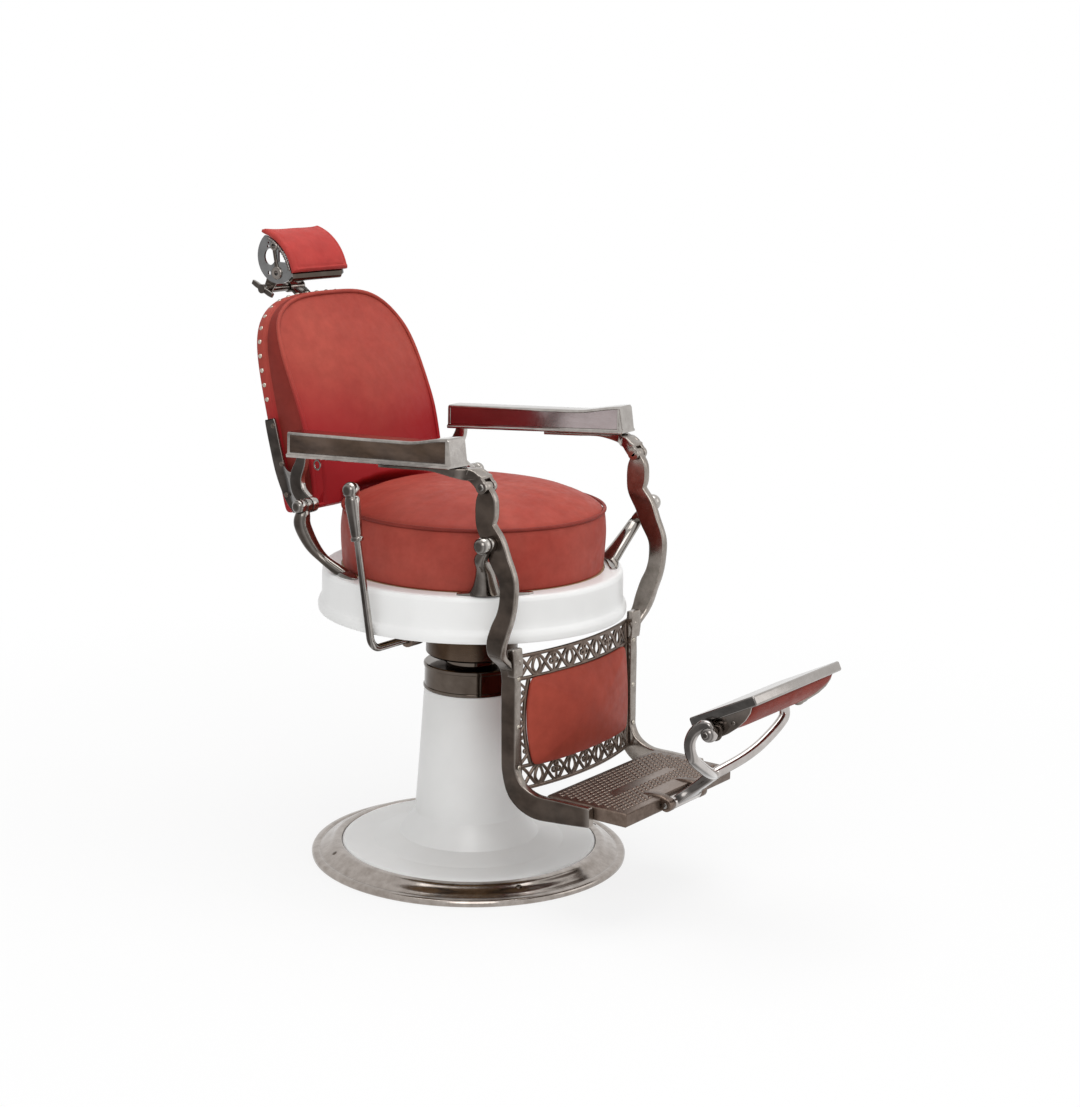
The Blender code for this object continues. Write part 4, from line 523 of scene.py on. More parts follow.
def painted_side_shade(tree, colour, sides, streaks):
    """Cover a colour by painted shade and painted dark reflection on the faces that look out sideways or down."""
    facing = split(tree, coordinates(tree, "Normal"))
    hand = maths(tree, "SIGN", split(tree, coordinates(tree))["X"])
    out = maths(tree, "MULTIPLY", facing["X"], hand)
    down = maths(tree, "MULTIPLY", facing["Z"], -0.9)
    most = maths(tree, "MAXIMUM", out, down)
    # Painted shade: faces turned out sideways or down are darkened, with a lighter painted band between them.
    shade_mask = ramp(tree, most, (0.40, 0.0), (0.62, 0.90), (0.74, 0.55), (0.90, 1.0))
    patches = ramp(tree, speckle(tree, 16.0, 5.0, 0.6, (1.0, 0.6, 1.0)), (0.30, 0.93), (0.62, 1.0))
    deep = tuple(c * 0.35 for c in sides)
    shade_mottle = speckle(tree, 22.0, 5.0, 0.6, streaks or (1.0, 0.7, 1.0))
    # The painted shade colour, mottled between a deeper and a lighter dark.
    painted_shade_colour = ramp(tree, shade_mottle, (0.34, deep), (0.66, sides))
    return blend_colours(tree, blend_colours(tree, 1.0, shade_mask, patches, "MULTIPLY"), colour, painted_shade_colour)


def metal(name, colour, stain, roughness, wear=0.35, stain_scale=55.0, pits=0.05, sides=None, streaks=None,
          slot=None):
    """Plated or bare metal: softly stained, finely scratched, with bright worn edges, and with painted shade on
    the faces that look out sideways or down when side colours are given.
    """
    made, tree, shader = new_material(name, slot or name)
    shader.inputs["Metallic"].default_value = 1.0
    clouds = ramp(tree, speckle(tree, stain_scale, 6.0, 0.62, streaks), (0.28, stain), (0.72, colour))
    # sides is the colour of painted shade and painted dark reflection on sideways and downward faces.
    if sides:
        clouds = painted_side_shade(tree, clouds, sides, streaks)
    bright = tuple(min(1.0, c * 1.4 + 0.06) for c in colour)
    worn = ramp(tree, add(tree, "ShaderNodeNewGeometry").outputs["Pointiness"], (0.53, 0.0), (0.62, wear))
    scratches = speckle(tree, 90.0, 5.0, 0.7, (1.0, 1.0, 6.0))
    finish_shader(tree, shader, blend_colours(tree, worn, clouds, bright),
                  ramp(tree, scratches, (0.3, roughness * 0.8), (0.7, roughness * 1.25)),
                  speckle(tree, 420.0, 5.0), pits, 0.0005)
    return made


def nickel(kind, *look, **more):
    """Metal in the slot of polished nickel."""
    return metal(kind + "_nickel", *look, slot="polished_nickel", **more)


def enamel(name, colour):
    made, tree, shader = new_material(name, name)
    greyed = tuple(c * 0.94 for c in colour)
    finish_shader(tree, shader, ramp(tree, speckle(tree, 5.0, 4.0), (0.35, greyed), (0.6, colour)),
                  ramp(tree, speckle(tree, 40.0), (0.3, 0.30), (0.7, 0.40)),
                  speckle(tree, 26.0, 2.0), 0.05, 0.002)
    return made


def plain_rough(name, colour, dark, roughness, scale):
    made, tree, shader = new_material(name, name)
    finish_shader(tree, shader, ramp(tree, speckle(tree, scale, 6.0, 0.65), (0.35, dark), (0.65, colour)),
                  roughness, speckle(tree, scale * 6, 4.0), 0.2, 0.0006)
    return made


RED = leather("red_leather", (0.400, 0.078, 0.056), (0.325, 0.046, 0.032))
# The back's third colour is painted shade, low down and towards the sides.
RED_BACK = leather("red_leather_back", (0.385, 0.070, 0.049), (0.325, 0.047, 0.035),
                   (0.330, 0.014, 0.018), 0.72, 0.92)
RED_SIDE = leather("red_leather_boxing", (0.235, 0.030, 0.022), (0.175, 0.020, 0.014))
RED_DARK = leather("red_leather_welt", (0.26, 0.040, 0.029), (0.19, 0.025, 0.018))
RED_LEG = leather("red_leather_leg", (0.375, 0.064, 0.040), (0.300, 0.047, 0.029))
# A darker copy of the leather, painted shade for the foot pad's underside, which faces down.
RED_FOOT_SHADED = leather("red_leather_foot_shaded", (0.250, 0.042, 0.028), (0.195, 0.030, 0.020))
RED_HEAD = leather("red_leather_head", (0.455, 0.060, 0.050), (0.38, 0.036, 0.032))
WHITE = enamel("white_enamel", (0.87, 0.87, 0.86))
# The sides colours here and below are painted shade and painted dark reflection for faces that look out sideways
# or down.
NICKEL = nickel("polished", (0.50, 0.475, 0.45), (0.34, 0.315, 0.29), 0.11, 0.25, sides=(0.060, 0.050, 0.044))
SATIN = nickel("satin", (0.36, 0.325, 0.295), (0.25, 0.220, 0.195), 0.17, 0.4, sides=(0.110, 0.090, 0.078))
RING_METAL = nickel("ring", (0.41, 0.37, 0.34), (0.26, 0.226, 0.20), 0.15, 0.4)
DARK = nickel("dark", (0.118, 0.096, 0.080), (0.070, 0.054, 0.043), 0.085, 0.35, 30.0, 0.02)
PLATE = nickel("plate", (0.15, 0.150, 0.150), (0.07, 0.070, 0.070), 0.18)
ARM = nickel("arm", (0.46, 0.435, 0.41), (0.32, 0.295, 0.275), 0.10, 0.25, sides=(0.42, 0.385, 0.355))
INLAY = nickel("inlay", (0.46, 0.40, 0.40), (0.34, 0.29, 0.29), 0.13, 0.0, 22.0, 0.03,
               (0.095, 0.064, 0.046), (1.0, 0.45, 1.5))
STAND = nickel("stand", (0.36, 0.335, 0.31), (0.25, 0.230, 0.21), 0.12, 0.3, sides=(0.085, 0.070, 0.060))
TRAY = nickel("tray", (0.40, 0.375, 0.355), (0.32, 0.295, 0.275), 0.16, 0.3, sides=(0.10, 0.093, 0.088))
NAIL = nickel("nail", (0.50, 0.46, 0.40), (0.30, 0.26, 0.21), 0.20)
YOKE_METAL = nickel("yoke", (0.56, 0.525, 0.505), (0.42, 0.39, 0.37), 0.13, 0.3, sides=(0.100, 0.090, 0.084))
IRON = metal("worn_nickel_iron", (0.36, 0.325, 0.295), (0.22, 0.190, 0.165), 0.22, 0.5, 60.0, 0.08,
             (0.070, 0.053, 0.043))
CAST = metal("brown_cast_iron", (0.185, 0.140, 0.114), (0.105, 0.075, 0.059), 0.36, 0.6, 70.0, 0.18)
STEEL = metal("bright_steel", (0.30, 0.29, 0.28), (0.20, 0.19, 0.18), 0.22)
BRONZE = metal("dark_bronze", (0.070, 0.044, 0.027), (0.034, 0.020, 0.012), 0.30, 0.3, 30.0, 0.12)
RUBBER = plain_rough("seal_rubber", (0.030, 0.030, 0.030), (0.018, 0.018, 0.018), 0.7, 60.0)
WOOD = plain_rough("ash_wood", (0.42, 0.27, 0.14), (0.30, 0.18, 0.09), 0.6, 40.0)


# Base, column and seat ring, turned
def make_base_ring():
    """Nickel ring with a rounded edge, a step and a long slope with screws."""
    edge, step = BOXES["base_ring"][1].x, BOXES["base_ring"][1].z
    inner = BOXES["base_column"][1].x + 0.0003
    outline = moved([(-0.024, 0), (-0.002, 0), (-0.0004, 0.0015), (0, 0.005)], edge, 0)
    outline += curve_through(moved([(0, 0.0075), (-0.0028, 0.0112), (-0.0095, 0.0128)], edge, 0), 4)
    slope = moved([(-0.0125, 0.0128), (-0.0155, 0.0118), (-0.0190, 0.0136), (-0.024, 0.0166),
                   (-0.034, 0.0216)], edge, 0)
    outline += curve_through(slope + moved([(0.014, -0.0010), (0.004, 0)], inner, step), 6)
    outline += moved([(0.0012, -0.0006), (0, -0.0024)], inner, step)
    outline += [(inner, 0.0153), (inner - 0.022, 0.0153), (inner - 0.022, 0.004), (edge - 0.030, 0.004)]
    piece("base_ring_turned", lathe(outline, RING_STEPS), "base", RING_METAL, ("base_ring",))
    reach, lean = edge - 0.036, 0.42
    heads = []
    for k in range(4):
        angle = radians(145.5 + 92 * k)
        c, s = cos(angle), sin(angle)
        heads.append(dome(Vector((reach * c, reach * s, 0.0222)), (lean * c, lean * s, 1), 0.0064, 0.0026))
    piece("base_ring_screws", joined(*heads), "base", DARK)


def make_column():
    """White shell: flat foot, tight flare, tapering column."""
    low, high = BOXES["base_column"]
    step = BOXES["base_ring"][1].z
    white, foot, top = high.x, low.z, high.z
    outside = [(white - 0.001, foot), (white, foot + 0.001)]
    outside += moved([(0, -0.0042), (-0.0012, -0.0014), (-0.0045, 0.0012), (-0.008, 0.0022)], white, step)
    flare_edge, flare_foot = outside[-1]
    span = flare_edge - THROAT_RADIUS
    outside += [(flare_edge - span * (1 - (1 - share) ** 2.2),
                 flare_foot + (FLARE_HEIGHT - flare_foot) * share ** 3.2) for share in shares(32, 1)]
    outside += [(THROAT_RADIUS - (THROAT_RADIUS - COLUMN_RADIUS) * share ** 0.9,
                 FLARE_HEIGHT + (top - 0.001 - FLARE_HEIGHT) * share) for share in shares(12, 1)]
    outside.append((COLUMN_RADIUS - 0.001, top))
    inside = [(COLUMN_RADIUS - 0.008, top), (THROAT_RADIUS - 0.008, FLARE_HEIGHT),
              (THROAT_RADIUS + 0.03, 0.045), (white - 0.03, step - 0.006), (white - 0.03, foot)]
    piece("base_column_turned", lathe(outside + inside), "base", WHITE, ("base_column",))


def make_collar():
    """Collar with a bead at each end."""
    low, high = BOXES["gland_collar"]
    lip = high.x - 0.0006
    outline = moved([(-0.0006, 0), (0.0004, 0.0012), (0.0006, 0.0040), (-0.0002, 0.0058), (-0.0016, 0.0066),
                     (-0.0017, 0.012)], lip, low.z)
    outline += moved([(-0.0017, -0.0095), (-0.0014, -0.0080), (0, -0.0070), (0.0004, -0.0045),
                      (-0.0004, -0.0018), (-0.003, 0)], lip, high.z)
    outline += [(COLLAR_BORE, high.z), (COLLAR_BORE, low.z)]
    piece("gland_collar_turned", lathe(outline), "base", DARK, ("gland_collar",))


def make_seat_ring():
    """Soft shoulder, straight drafted side and an ogee out to the flange."""
    low, high = BOXES["seat_ring"]
    wide, foot, top = high.x, low.z, high.z
    side, wall = wide - 0.0075, 0.0095
    well = BOXES["seat_cushion"][1].x - 0.002
    outline = moved([(-0.0045, 0), (-0.0015, 0.0010), (-0.0004, 0.0035)], wide, foot)
    flange = moved([(0, 0.0075), (-0.0002, 0.0130), (-0.0022, 0.0190)], wide, foot)
    outline += curve_through(flange + moved([(0.0018, 0.0245), (0.0003, 0.0310)], side, foot), 5)
    shoulder = moved([(-0.0003, -0.014), (-0.0012, -0.0072), (-0.0036, -0.0024), (-0.0080, -0.0002)],
                     side, top)
    outline += curve_through([(side, foot + 0.038), *shoulder], 5)
    outline += [(side - 0.012, top), (well, top), (well, top - 0.0078), (side - wall, top - 0.0078),
                (side - wall, foot + 0.030), (wide - wall, foot + 0.010), (wide - wall, foot)]
    piece("seat_ring_turned", lathe(outline, RING_STEPS), "seat", WHITE, ("seat_ring",))


# Seat
def wavering(bm, amount, scale, above=0.0):
    """Uneven the surface of a soft piece, from a height up, by smooth noise along its normals."""
    bm.normal_update()
    moves = [(v, v.normal * amount * noise.noise(v.co * scale)) for v in bm.verts if v.co.z >= above]
    for vert, move in moves:
        vert.co += move
    return bm


def make_seat_pad():
    """Round stuffed pad with a domed top, and a piped welt round its edge."""
    low, high = BOXES["seat_cushion"]
    r, base = high.x - 0.0035, low.z
    welt_z = base + SEAT_SIDE
    swell = high.z - welt_z - 0.0025
    profile = [(0.0, base), (r * 0.5, base), (r - 0.0045, base), (r - 0.0022, base + 0.0008)]
    profile += [(r - 0.0012 + 0.0042 * sin(pi * t ** 1.25) + 0.0006 * t,
                 base + 0.004 + (SEAT_SIDE - 0.010) * t) for t in shares(16)]
    profile += moved([(-0.0035, -0.0030), (-0.0052, -0.0004), (-0.0060, 0.0016)], r, welt_z)
    profile += [((r - 0.0062) * (1 - t), welt_z + 0.0024 + swell * crown(t, 3.1))
                for t in shares(26, 1)[:-1]]
    profile.append((0.0, high.z))
    pad = lathe(profile, hollow=False)
    for amount, scale in ((0.0018, 9.0), (0.0006, 30.0)):
        wavering(pad, amount, scale, base + 0.004)
    made = piece("seat_pad", pad, "seat", RED, ("seat_cushion",), sharp=60)
    circle = [((r - 0.0012) * c, (r - 0.0012) * s, welt_z) for c, s in turns(LATHE_STEPS)]
    piece("seat_welt", rod(circle, WELT, 10, closed=True), "seat", RED_DARK, sharp=80)


# Back
def back_place(x, up, ahead):
    return Vector((x, 0, 0)) + BACK_FOOT + BACK_UP * up + BACK_AHEAD * ahead


def on_back(point, ahead):
    return back_place(point.x, point.y, ahead)


def even_points(points, count):
    """Points spaced evenly along a closed line."""
    ring = [Vector(p) for p in points]
    ring.append(ring[0])
    lengths = [0.0]
    for a, b in zip(ring, ring[1:]):
        lengths.append(lengths[-1] + (b - a).length)
    spaced = []
    k = 0
    for i in range(count):
        goal = lengths[-1] * i / count
        while lengths[k + 1] < goal:
            k += 1
        share = (goal - lengths[k]) / max(lengths[k + 1] - lengths[k], 1e-9)
        spaced.append(ring[k].lerp(ring[k + 1], share))
    return spaced


def rounded(points):
    """Soften the corners of a closed line."""
    for _ in range(ROUNDING_PASSES):
        points = [(points[i - 1] + points[i] * 2 + points[(i + 1) % len(points)]) / 4
                  for i in range(len(points))]
    return points


def inward(points):
    """Unit normals into a closed line that runs anticlockwise."""
    normals = []
    for i in range(len(points)):
        run = points[(i + 1) % len(points)] - points[i - 1]
        normals.append(Vector((-run.y, run.x)).normalized())
    return normals


def seat_edge(x):
    return sqrt(max(SEAT_REACH ** 2 - x * x, 0.0))


def clear_depth(x, up):
    """Thickest the back may be at a place, to pass behind the seat when it goes down."""
    return (FOOT_DOWN.y + up * sin(SLOPE_DOWN) - seat_edge(x)) / cos(SLOPE_DOWN)


def lower_edge(x):
    return max(-BACK_DROP, (EDGE_DEPTH * cos(SLOPE_DOWN) + seat_edge(x) - FOOT_DOWN.y) / sin(SLOPE_DOWN))


def back_outline(count):
    """The back's edge as (across, up), anticlockwise from the lower right corner."""
    line = [Vector((BACK_HALF, -BACK_DROP))]
    for share in shares(60):
        c, s = cos(pi * share), sin(pi * share)
        x = BACK_HALF * (1 if c > 0 else -1) * abs(c) ** (2 / BACK_POWER)
        line.append(Vector((x, BACK_SHOULDER + (BACK_HEIGHT - BACK_SHOULDER) * s ** (2 / BACK_POWER))))
    for share in shares(60):
        x = BACK_HALF * (2 * share - 1)
        line.append(Vector((x, lower_edge(x))))
    return rounded(even_points(line, count))


def stepped(table, value):
    """Straight interpolation in a list of (place, value) pairs."""
    for (a, fa), (b, fb) in zip(table, table[1:]):
        if value <= b:
            return fa + (fb - fa) * max(0.0, (value - a) / (b - a))
    return table[-1][1]


BACK_LINE = back_outline(220)
BACK_NORMALS = inward(BACK_LINE)
FRONT_DEPTH = curve_through([(-0.028, 0.062), (0.050, 0.070), (0.125, 0.073), (0.180, 0.067), (0.240, 0.0565),
                             (0.290, 0.046), (0.326, 0.036), (0.354, 0.030), (0.390, 0.026)], 4)


def crown(share, power=2.3):
    """Rise of a stuffed face at a share from its edge to its middle."""
    return 1 - (1 - share) ** power


def front_depth(p):
    """Depth of the back's front edge at a point."""
    return min(stepped(FRONT_DEPTH, p.y), clear_depth(p.x, p.y))


def boxing_depth(share, less):
    """Depth at a point, at a share of the way from the band to the front edge."""
    start = BAND_FRONT + 0.005
    return lambda p: max(LEAST_DEPTH, start + (front_depth(p) - start) * share - less)


def back_face(p, share):
    """Depth of the back's crowned face at a point, for a share towards its middle."""
    depth = stepped(FRONT_DEPTH, p.y) - 0.0006 + 0.0210 * crown(share)
    return max(LEAST_DEPTH, min(depth, clear_depth(p.x, p.y) - 0.0004))


def layered(line, layers, centre, oval, place, face, inner=18):
    """Padded form: rings inset from a line, then a crowned face whose rings turn oval towards a centre.

    Each layer is an inset with a depth, or with a function that gives the depth at a point. The face gives
    the depth at a point for a share towards the centre.
    """
    normals = inward(line)
    rings = []
    for inset, depth in layers:
        edge = [p + n * inset for p, n in zip(line, normals)]
        rings.append([place(p, depth(p) if callable(depth) else depth) for p in edge])
    for share in shares(inner, 1):
        turn = min(1.0, 1.5 * share)
        ring = []
        for p in edge:
            away = p - centre
            span = away.length
            away = away / span
            oval_span = 1 / sqrt((away.x / oval.x) ** 2 + (away.y / oval.y) ** 2)
            ring.append(centre + away * (span + (oval_span - span) * turn) * (1 - share))
        rings.append([place(p, face(p, share)) for p in ring])
    return skin(rings)


def make_back_pad():
    """Stuffed front on a nailed band, with boxed sides of a darker red and a welt round the front edge."""
    band = [(0.030, BAND_REAR), (0.003, BAND_REAR), (0.0006, BAND_REAR + 0.0008), (0.0, BAND_REAR + 0.0026),
            (0.0, 0.0), (0.0, BAND_FRONT - 0.002), (0.0008, BAND_FRONT), (0.0034, BAND_FRONT + 0.0006),
            (0.0046, BAND_FRONT + 0.0018)]
    boxing = [(BOXING_INSET - 0.0022 * sin(pi * share), boxing_depth(share, 0.005)) for share in shares(8, 1)]
    lip = [(BOXING_INSET + inset, boxing_depth(1, less))
           for inset, less in ((0.0016, 0.0032), (0.0050, 0.0022), (0.0080, 0.0006))]
    pad = layered(BACK_LINE, band + boxing + lip, BACK_MIDDLE, BACK_OVAL, on_back, back_face)
    wavering(pad, 0.0015, 8.0)
    made = piece("back_pad", pad, "back", RED_BACK, ("back_cushion", "back_board"), sharp=60)
    made.data.materials.append(RED_SIDE)
    first, last = len(band) * len(BACK_LINE), (len(band) + len(boxing)) * len(BACK_LINE)
    for polygon in made.data.polygons:
        if first <= min(polygon.vertices) and max(polygon.vertices) < last:
            polygon.material_index = 1
    seam = [on_back(p + n * (BOXING_INSET + 0.0018), max(LEAST_DEPTH, front_depth(p) - 0.0004))
            for p, n in zip(BACK_LINE, BACK_NORMALS)]
    piece("back_welt", rod(seam, WELT * 1.15, 10, closed=True), "back", RED_BACK, sharp=80)


def make_back_skirt():
    """Leather below the stuffing, which tucks in behind the seat."""
    hem, head, half = -BACK_DROP + 0.001, 0.066, 0.186
    least = 0.0200

    def inside(v, u):
        return back_place(half * (2 * u - 1), hem + (head - hem) * v, 0.0188)

    def outside(v, u):
        x, up = half * (2 * u - 1), hem + (head - hem) * v
        depth = stepped(FRONT_DEPTH, up) - 0.0026 + 0.0190 * crown(min(1.0, (0.195 - abs(x)) / 0.13))
        behind_seat = (BACK_FOOT.y + up * sin(BACK_TILT) - seat_edge(x)) / cos(BACK_TILT)
        depth = min(depth, behind_seat + 2.2 * max(0.0, up + 0.004))
        ease = min(1.0, (half - abs(x)) / 0.022, (up - hem) / 0.006 + 0.45)
        return back_place(x, up, least + (depth - least) * ease * (2 - ease))
    sheet = slab(grid(24, 60, outside), grid(24, 60, inside))
    skirt = piece("back_skirt", sheet, "back", RED_BACK, sharp=60)
    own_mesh(skirt)


def make_back_rear():
    """Panel on the rear face, tacked over a welt."""
    layers = [(inset, BAND_REAR + ahead) for inset, ahead in (
        (0.012, 0.0004), (0.0066, 0.0004), (0.0060, -0.0004), (0.0075, -0.0013), (0.0105, -0.0013),
        (0.0135, -0.0008))]
    rear = layered(BACK_LINE, layers, BACK_MIDDLE, BACK_OVAL, on_back,
                   lambda p, share: BAND_REAR - 0.0008 - 0.0006 * share, 10)
    made = piece("back_rear_upholstery", rear, "back", RED_BACK, ("back_rear_panel",), sharp=60)


def make_back_nails():
    """Dome nails along the band, above the straps."""
    heads = []
    run = 0.0
    for i, (spot, normal) in enumerate(zip(BACK_LINE, BACK_NORMALS)):
        run += (spot - BACK_LINE[i - 1]).length if i else 0.0
        if spot.y < NAIL_START or run < NAIL_PITCH:
            continue
        run = 0.0
        out = -(normal.x * Vector((1, 0, 0)) + normal.y * BACK_UP)
        heads.append(dome(on_back(spot, -0.003), out, NAIL_RADIUS, 0.0026, 12))
    piece("back_nails", joined(*heads), "back", NAIL)


# Leg pad and openwork panel
def panel_y(x, z):
    """Middle of the leg panel, which bows forward between the irons and leans forward to its foot."""
    lean = 0.0135 * (1 - (z - PANEL_LOW.z) / (PANEL_HIGH.z - PANEL_LOW.z))
    return LEG_PIVOT.y - 0.0072 - lean - 0.025 * (1 - (x / PANEL_HIGH.x) ** 2)


def opening_half(z):
    """Half width of the panel's opening, which bows out like a barrel."""
    middle, half = (PANEL_LOW.z + PANEL_HIGH.z) / 2, (PANEL_HIGH.z - PANEL_LOW.z) / 2 - PANEL_BAND
    return PANEL_HIGH.x - 0.0315 + 0.0127 * max(0.0, 1 - ((z - middle) / half) ** 2)


def make_leg_pad():
    """Stuffed pad in the opening of the leg panel."""
    low, high = BOXES["leg_pad"]
    middle, tall = (low.z + high.z) / 2, (high.z - low.z) / 2
    back, edge = 0.0033, 0.0080

    def half(z):
        return opening_half(middle + (z - middle) * 0.95) + 0.0032

    def place(p, ahead):
        return Vector((p.x, panel_y(p.x, p.y) - ahead, p.y))
    top, foot = middle + tall, middle - tall
    sweep = [1 - k / 20 for k in range(1, 41)]
    line = [Vector((half(top) * t, top)) for t in (1, *sweep)]
    line += [Vector((-half(middle + tall * t), middle + tall * t)) for t in sweep]
    line += [Vector((-half(foot) * t, foot)) for t in sweep]
    line += [Vector((half(middle - tall * t), middle - tall * t)) for t in sweep[:-1]]
    line = rounded(even_points(line, 180))
    layers = [(inset, back + ahead) for inset, ahead in (
        (0.02, 0), (0.003, 0), (0.0006, 0.0010), (0.0, 0.0035), (0.0008, 0.0052), (0.0028, 0.0066),
        (0.0060, edge))]
    pad = layered(line, layers, Vector((0, middle)), Vector((0.118, 0.062)), place,
                  lambda p, share: back + edge + 0.0172 * crown(share, 2.2))
    pad = wavering(pad, 0.0012, 12.0)
    made = piece("leg_pad_stuffed", pad, "leg_frame", RED_LEG, ("leg_pad",), sharp=60)


def flattened(value):
    return (1 if value > 0 else -1) * abs(value) ** STRAND_POWER


def strand(points, width, depth, lift=None, closed=False, sides=8):
    """Cast strand with an oval section along (x, z) points on the bowed panel."""
    count = len(points)
    rings = []
    for i, (x, z) in enumerate(points):
        x0, z0 = points[i - 1] if closed else points[max(i - 1, 0)]
        x1, z1 = points[(i + 1) % count] if closed else points[min(i + 1, count - 1)]
        across = Vector((-(z1 - z0), x1 - x0)).normalized()
        ahead = lift(i / max(count - 1, 1)) if lift else 0.0
        ring = []
        for c, s in turns(sides):
            a, b = flattened(c) * width / 2, flattened(s) * depth / 2
            px, pz = x + across.x * a, z + across.y * a
            ring.append((px, panel_y(px, pz) - ahead - b, pz))
        rings.append(ring)
    return skin(rings, round_along=closed)


def rail(points):
    return strand(points, PANEL_RAIL, PANEL_THICK, sides=12)


def eyelet(x, z, radius):
    return strand([(x + radius * c, z + radius * s) for c, s in turns(20)], 0.0040, 0.0048, closed=True)


def panel_band(foot):
    """Rails with two interlaced waves between them, filled by arches and trefoils in turn."""
    half, edge = PANEL_HIGH.x, PANEL_RAIL / 2
    reach, middle = half - edge, foot + PANEL_BAND / 2
    tall = PANEL_BAND / 2 - PANEL_RAIL * 0.75
    pitch = reach / WAVES
    parts = [rail([(half * (2 * t - 1), z) for t in shares(48)])
             for z in (foot + edge, foot + PANEL_BAND - edge)]
    for turn in (-1, 1):
        wave = [(reach * (2 * t - 1), middle + turn * tall * cos(2 * pi * WAVES * t))
                for t in shares(24 * WAVES)]
        parts.append(strand(wave, 0.0060, PANEL_THICK * 0.8,
                            lambda s, turn=turn: 0.0010 * turn * sin(2 * pi * WAVES * s)))
    arch_shape = ((0, -0.78), (0.20, -0.30), (0.17, 0.30), (0, 0.85), (-0.17, 0.30), (-0.20, -0.30))
    for k in range(1, 2 * WAVES):
        x = -reach + pitch * k
        if k % 2:
            arch = curve_through([(x + a * pitch, middle + b * tall) for a, b in arch_shape], 6, closed=True)
            parts.append(strand(arch, 0.0046, 0.0048, closed=True))
            parts.append(strand([(x, middle - tall), (x, middle - 0.72 * tall)], 0.0046, 0.0048))
        else:
            parts.append(strand([(x, middle - tall), (x, middle), (x, middle + 0.36 * tall)], 0.0044, 0.0048))
            parts += [eyelet(x + a * pitch, middle + b * tall, radius)
                      for a, b, radius in ((-0.135, 0.02, 0.0043), (0.135, 0.02, 0.0043), (0, 0.56, 0.0040))]
    return parts


def panel_strip(side):
    """Outer rail, inner rail along the opening, and a wave with eyelets between them."""
    half, low, high = PANEL_HIGH.x, PANEL_LOW.z, PANEL_HIGH.z
    edge = PANEL_RAIL / 2
    foot, top = low + PANEL_BAND - edge, high - PANEL_BAND + edge
    far, tall = half - edge, top - foot
    parts = [rail([(side * far, low + edge + (high - low - PANEL_RAIL) * t) for t in shares(16)])]
    inner, wave = [], []
    for t in shares(20 * STRIP_WAVES):
        z = foot + tall * t
        near = opening_half(z) + edge
        inner.append((side * near, z))
        wave.append((side * ((near + far) / 2 + (far - near) / 2 * cos(2 * pi * STRIP_WAVES * t)), z))
    parts.append(rail(inner))
    parts.append(strand(wave, 0.0046, PANEL_THICK * 0.8))
    for k in range(2 * STRIP_WAVES):
        z = foot + tall * (k + 1) / (2 * STRIP_WAVES)
        near = opening_half(z) + edge
        if z < top - 0.012 and far - near > 0.012:
            shift = 0.45 if k % 2 else -0.45
            parts.append(eyelet(side * ((near + far) / 2 + shift * (far - near) / 2), z, 0.0030))
    return parts


def make_panel():
    """Openwork: two bands of interlaced waves with arches and trefoils between, and waved side strips."""
    parts = panel_band(PANEL_LOW.z) + panel_band(PANEL_HIGH.z - PANEL_BAND) + panel_strip(-1) + panel_strip(1)
    piece("leg_panel_openwork", joined(*parts), "leg_frame", CAST, ("leg_panel",), sharp=50)


def make_foot_pad_stuffing():
    """Stuffed underside of the foot pad, deepest near the ball joints and rounded to the front."""
    half = BOXES["foot_pad_cushion"][1].x
    ahead = Vector((0, -cos(FOOT_TILT), sin(FOOT_TILT)))
    under = Vector((0, -sin(FOOT_TILT), -cos(FOOT_TILT)))
    rear = PAD_PIVOT + Vector((0, 0.0485, 0.0165))
    start, end, back = 0.010, 0.130, 0.0043

    def place(v, u, depth):
        return Vector((half * (2 * u - 1), 0, 0)) + rear + ahead * (start + (end - start) * v) + under * depth

    def inside(v, u):
        return place(v, u, back)

    def outside(v, u):
        profile = 0.42 + 0.58 * sin(pi * min(1.0, v * 0.80 + 0.16)) ** 0.8
        ends = (1 - abs(2 * u - 1) ** 9) ** 0.5
        lips = min(1.0, 12 * v, 9 * (1 - v))
        return place(v, u, back + 0.0415 * profile * (0.58 + 0.42 * ends) * (0.75 + 0.25 * lips * (2 - lips)))
    pad = wavering(slab(grid(32, 56, outside), grid(32, 56, inside)), 0.0008, 12.0)
    made = piece("foot_pad_stuffing", pad, "foot_pad", RED_FOOT_SHADED, ("foot_pad_cushion",), sharp=50)


# Headrest
def make_headrest_pad():
    """Curved leather pad with a rolled hem."""
    half, arc = BOXES["headrest_pad"][1].x, HEAD_OUTER * (HEAD_END - HEAD_START)

    def near(distance, reach):
        return max(0.0, 1 - distance / reach)

    def place(v, u, outside):
        u = 2 * u - 1
        angle = HEAD_START + (HEAD_END - HEAD_START) * v - radians(4.5) * abs(u) ** 6 * near(v, 0.3) ** 2
        edge = min(half * (1 - abs(u)), arc * min(v, 1 - v))
        if outside:
            radius = HEAD_OUTER - 0.0045 * near(edge, 0.006) ** 2 - 0.0015 * u * u
            radius -= 0.0018 * near(abs(edge - HEAD_HEM), 0.0022)
            radius += 0.0016 * near(abs(arc * (1 - v) - 0.0045), 0.0045)
            radius -= 0.0028 * near(v, 0.25) * (1 - u * u)
        else:
            radius = HEAD_OUTER - HEAD_THICK + 0.0030 * near(edge, 0.005) ** 2
        return HEAD_CENTRE + Vector((half * u, radius * cos(angle), radius * sin(angle)))
    sheets = [grid(40, 48, lambda v, u, outside=outside: place(v, u, outside)) for outside in (True, False)]
    pad = wavering(slab(*sheets), 0.0008, 20.0)
    made = piece("headrest_cushion", pad, "headrest", RED_HEAD, ("headrest_pad",), sharp=60)


def plate_hole(y, z, wide, tall, steps=32):
    return [(PLATE_MIDDLE.y + y + wide * c, PLATE_MIDDLE.z + z + tall * s) for c, s in turns(steps)]


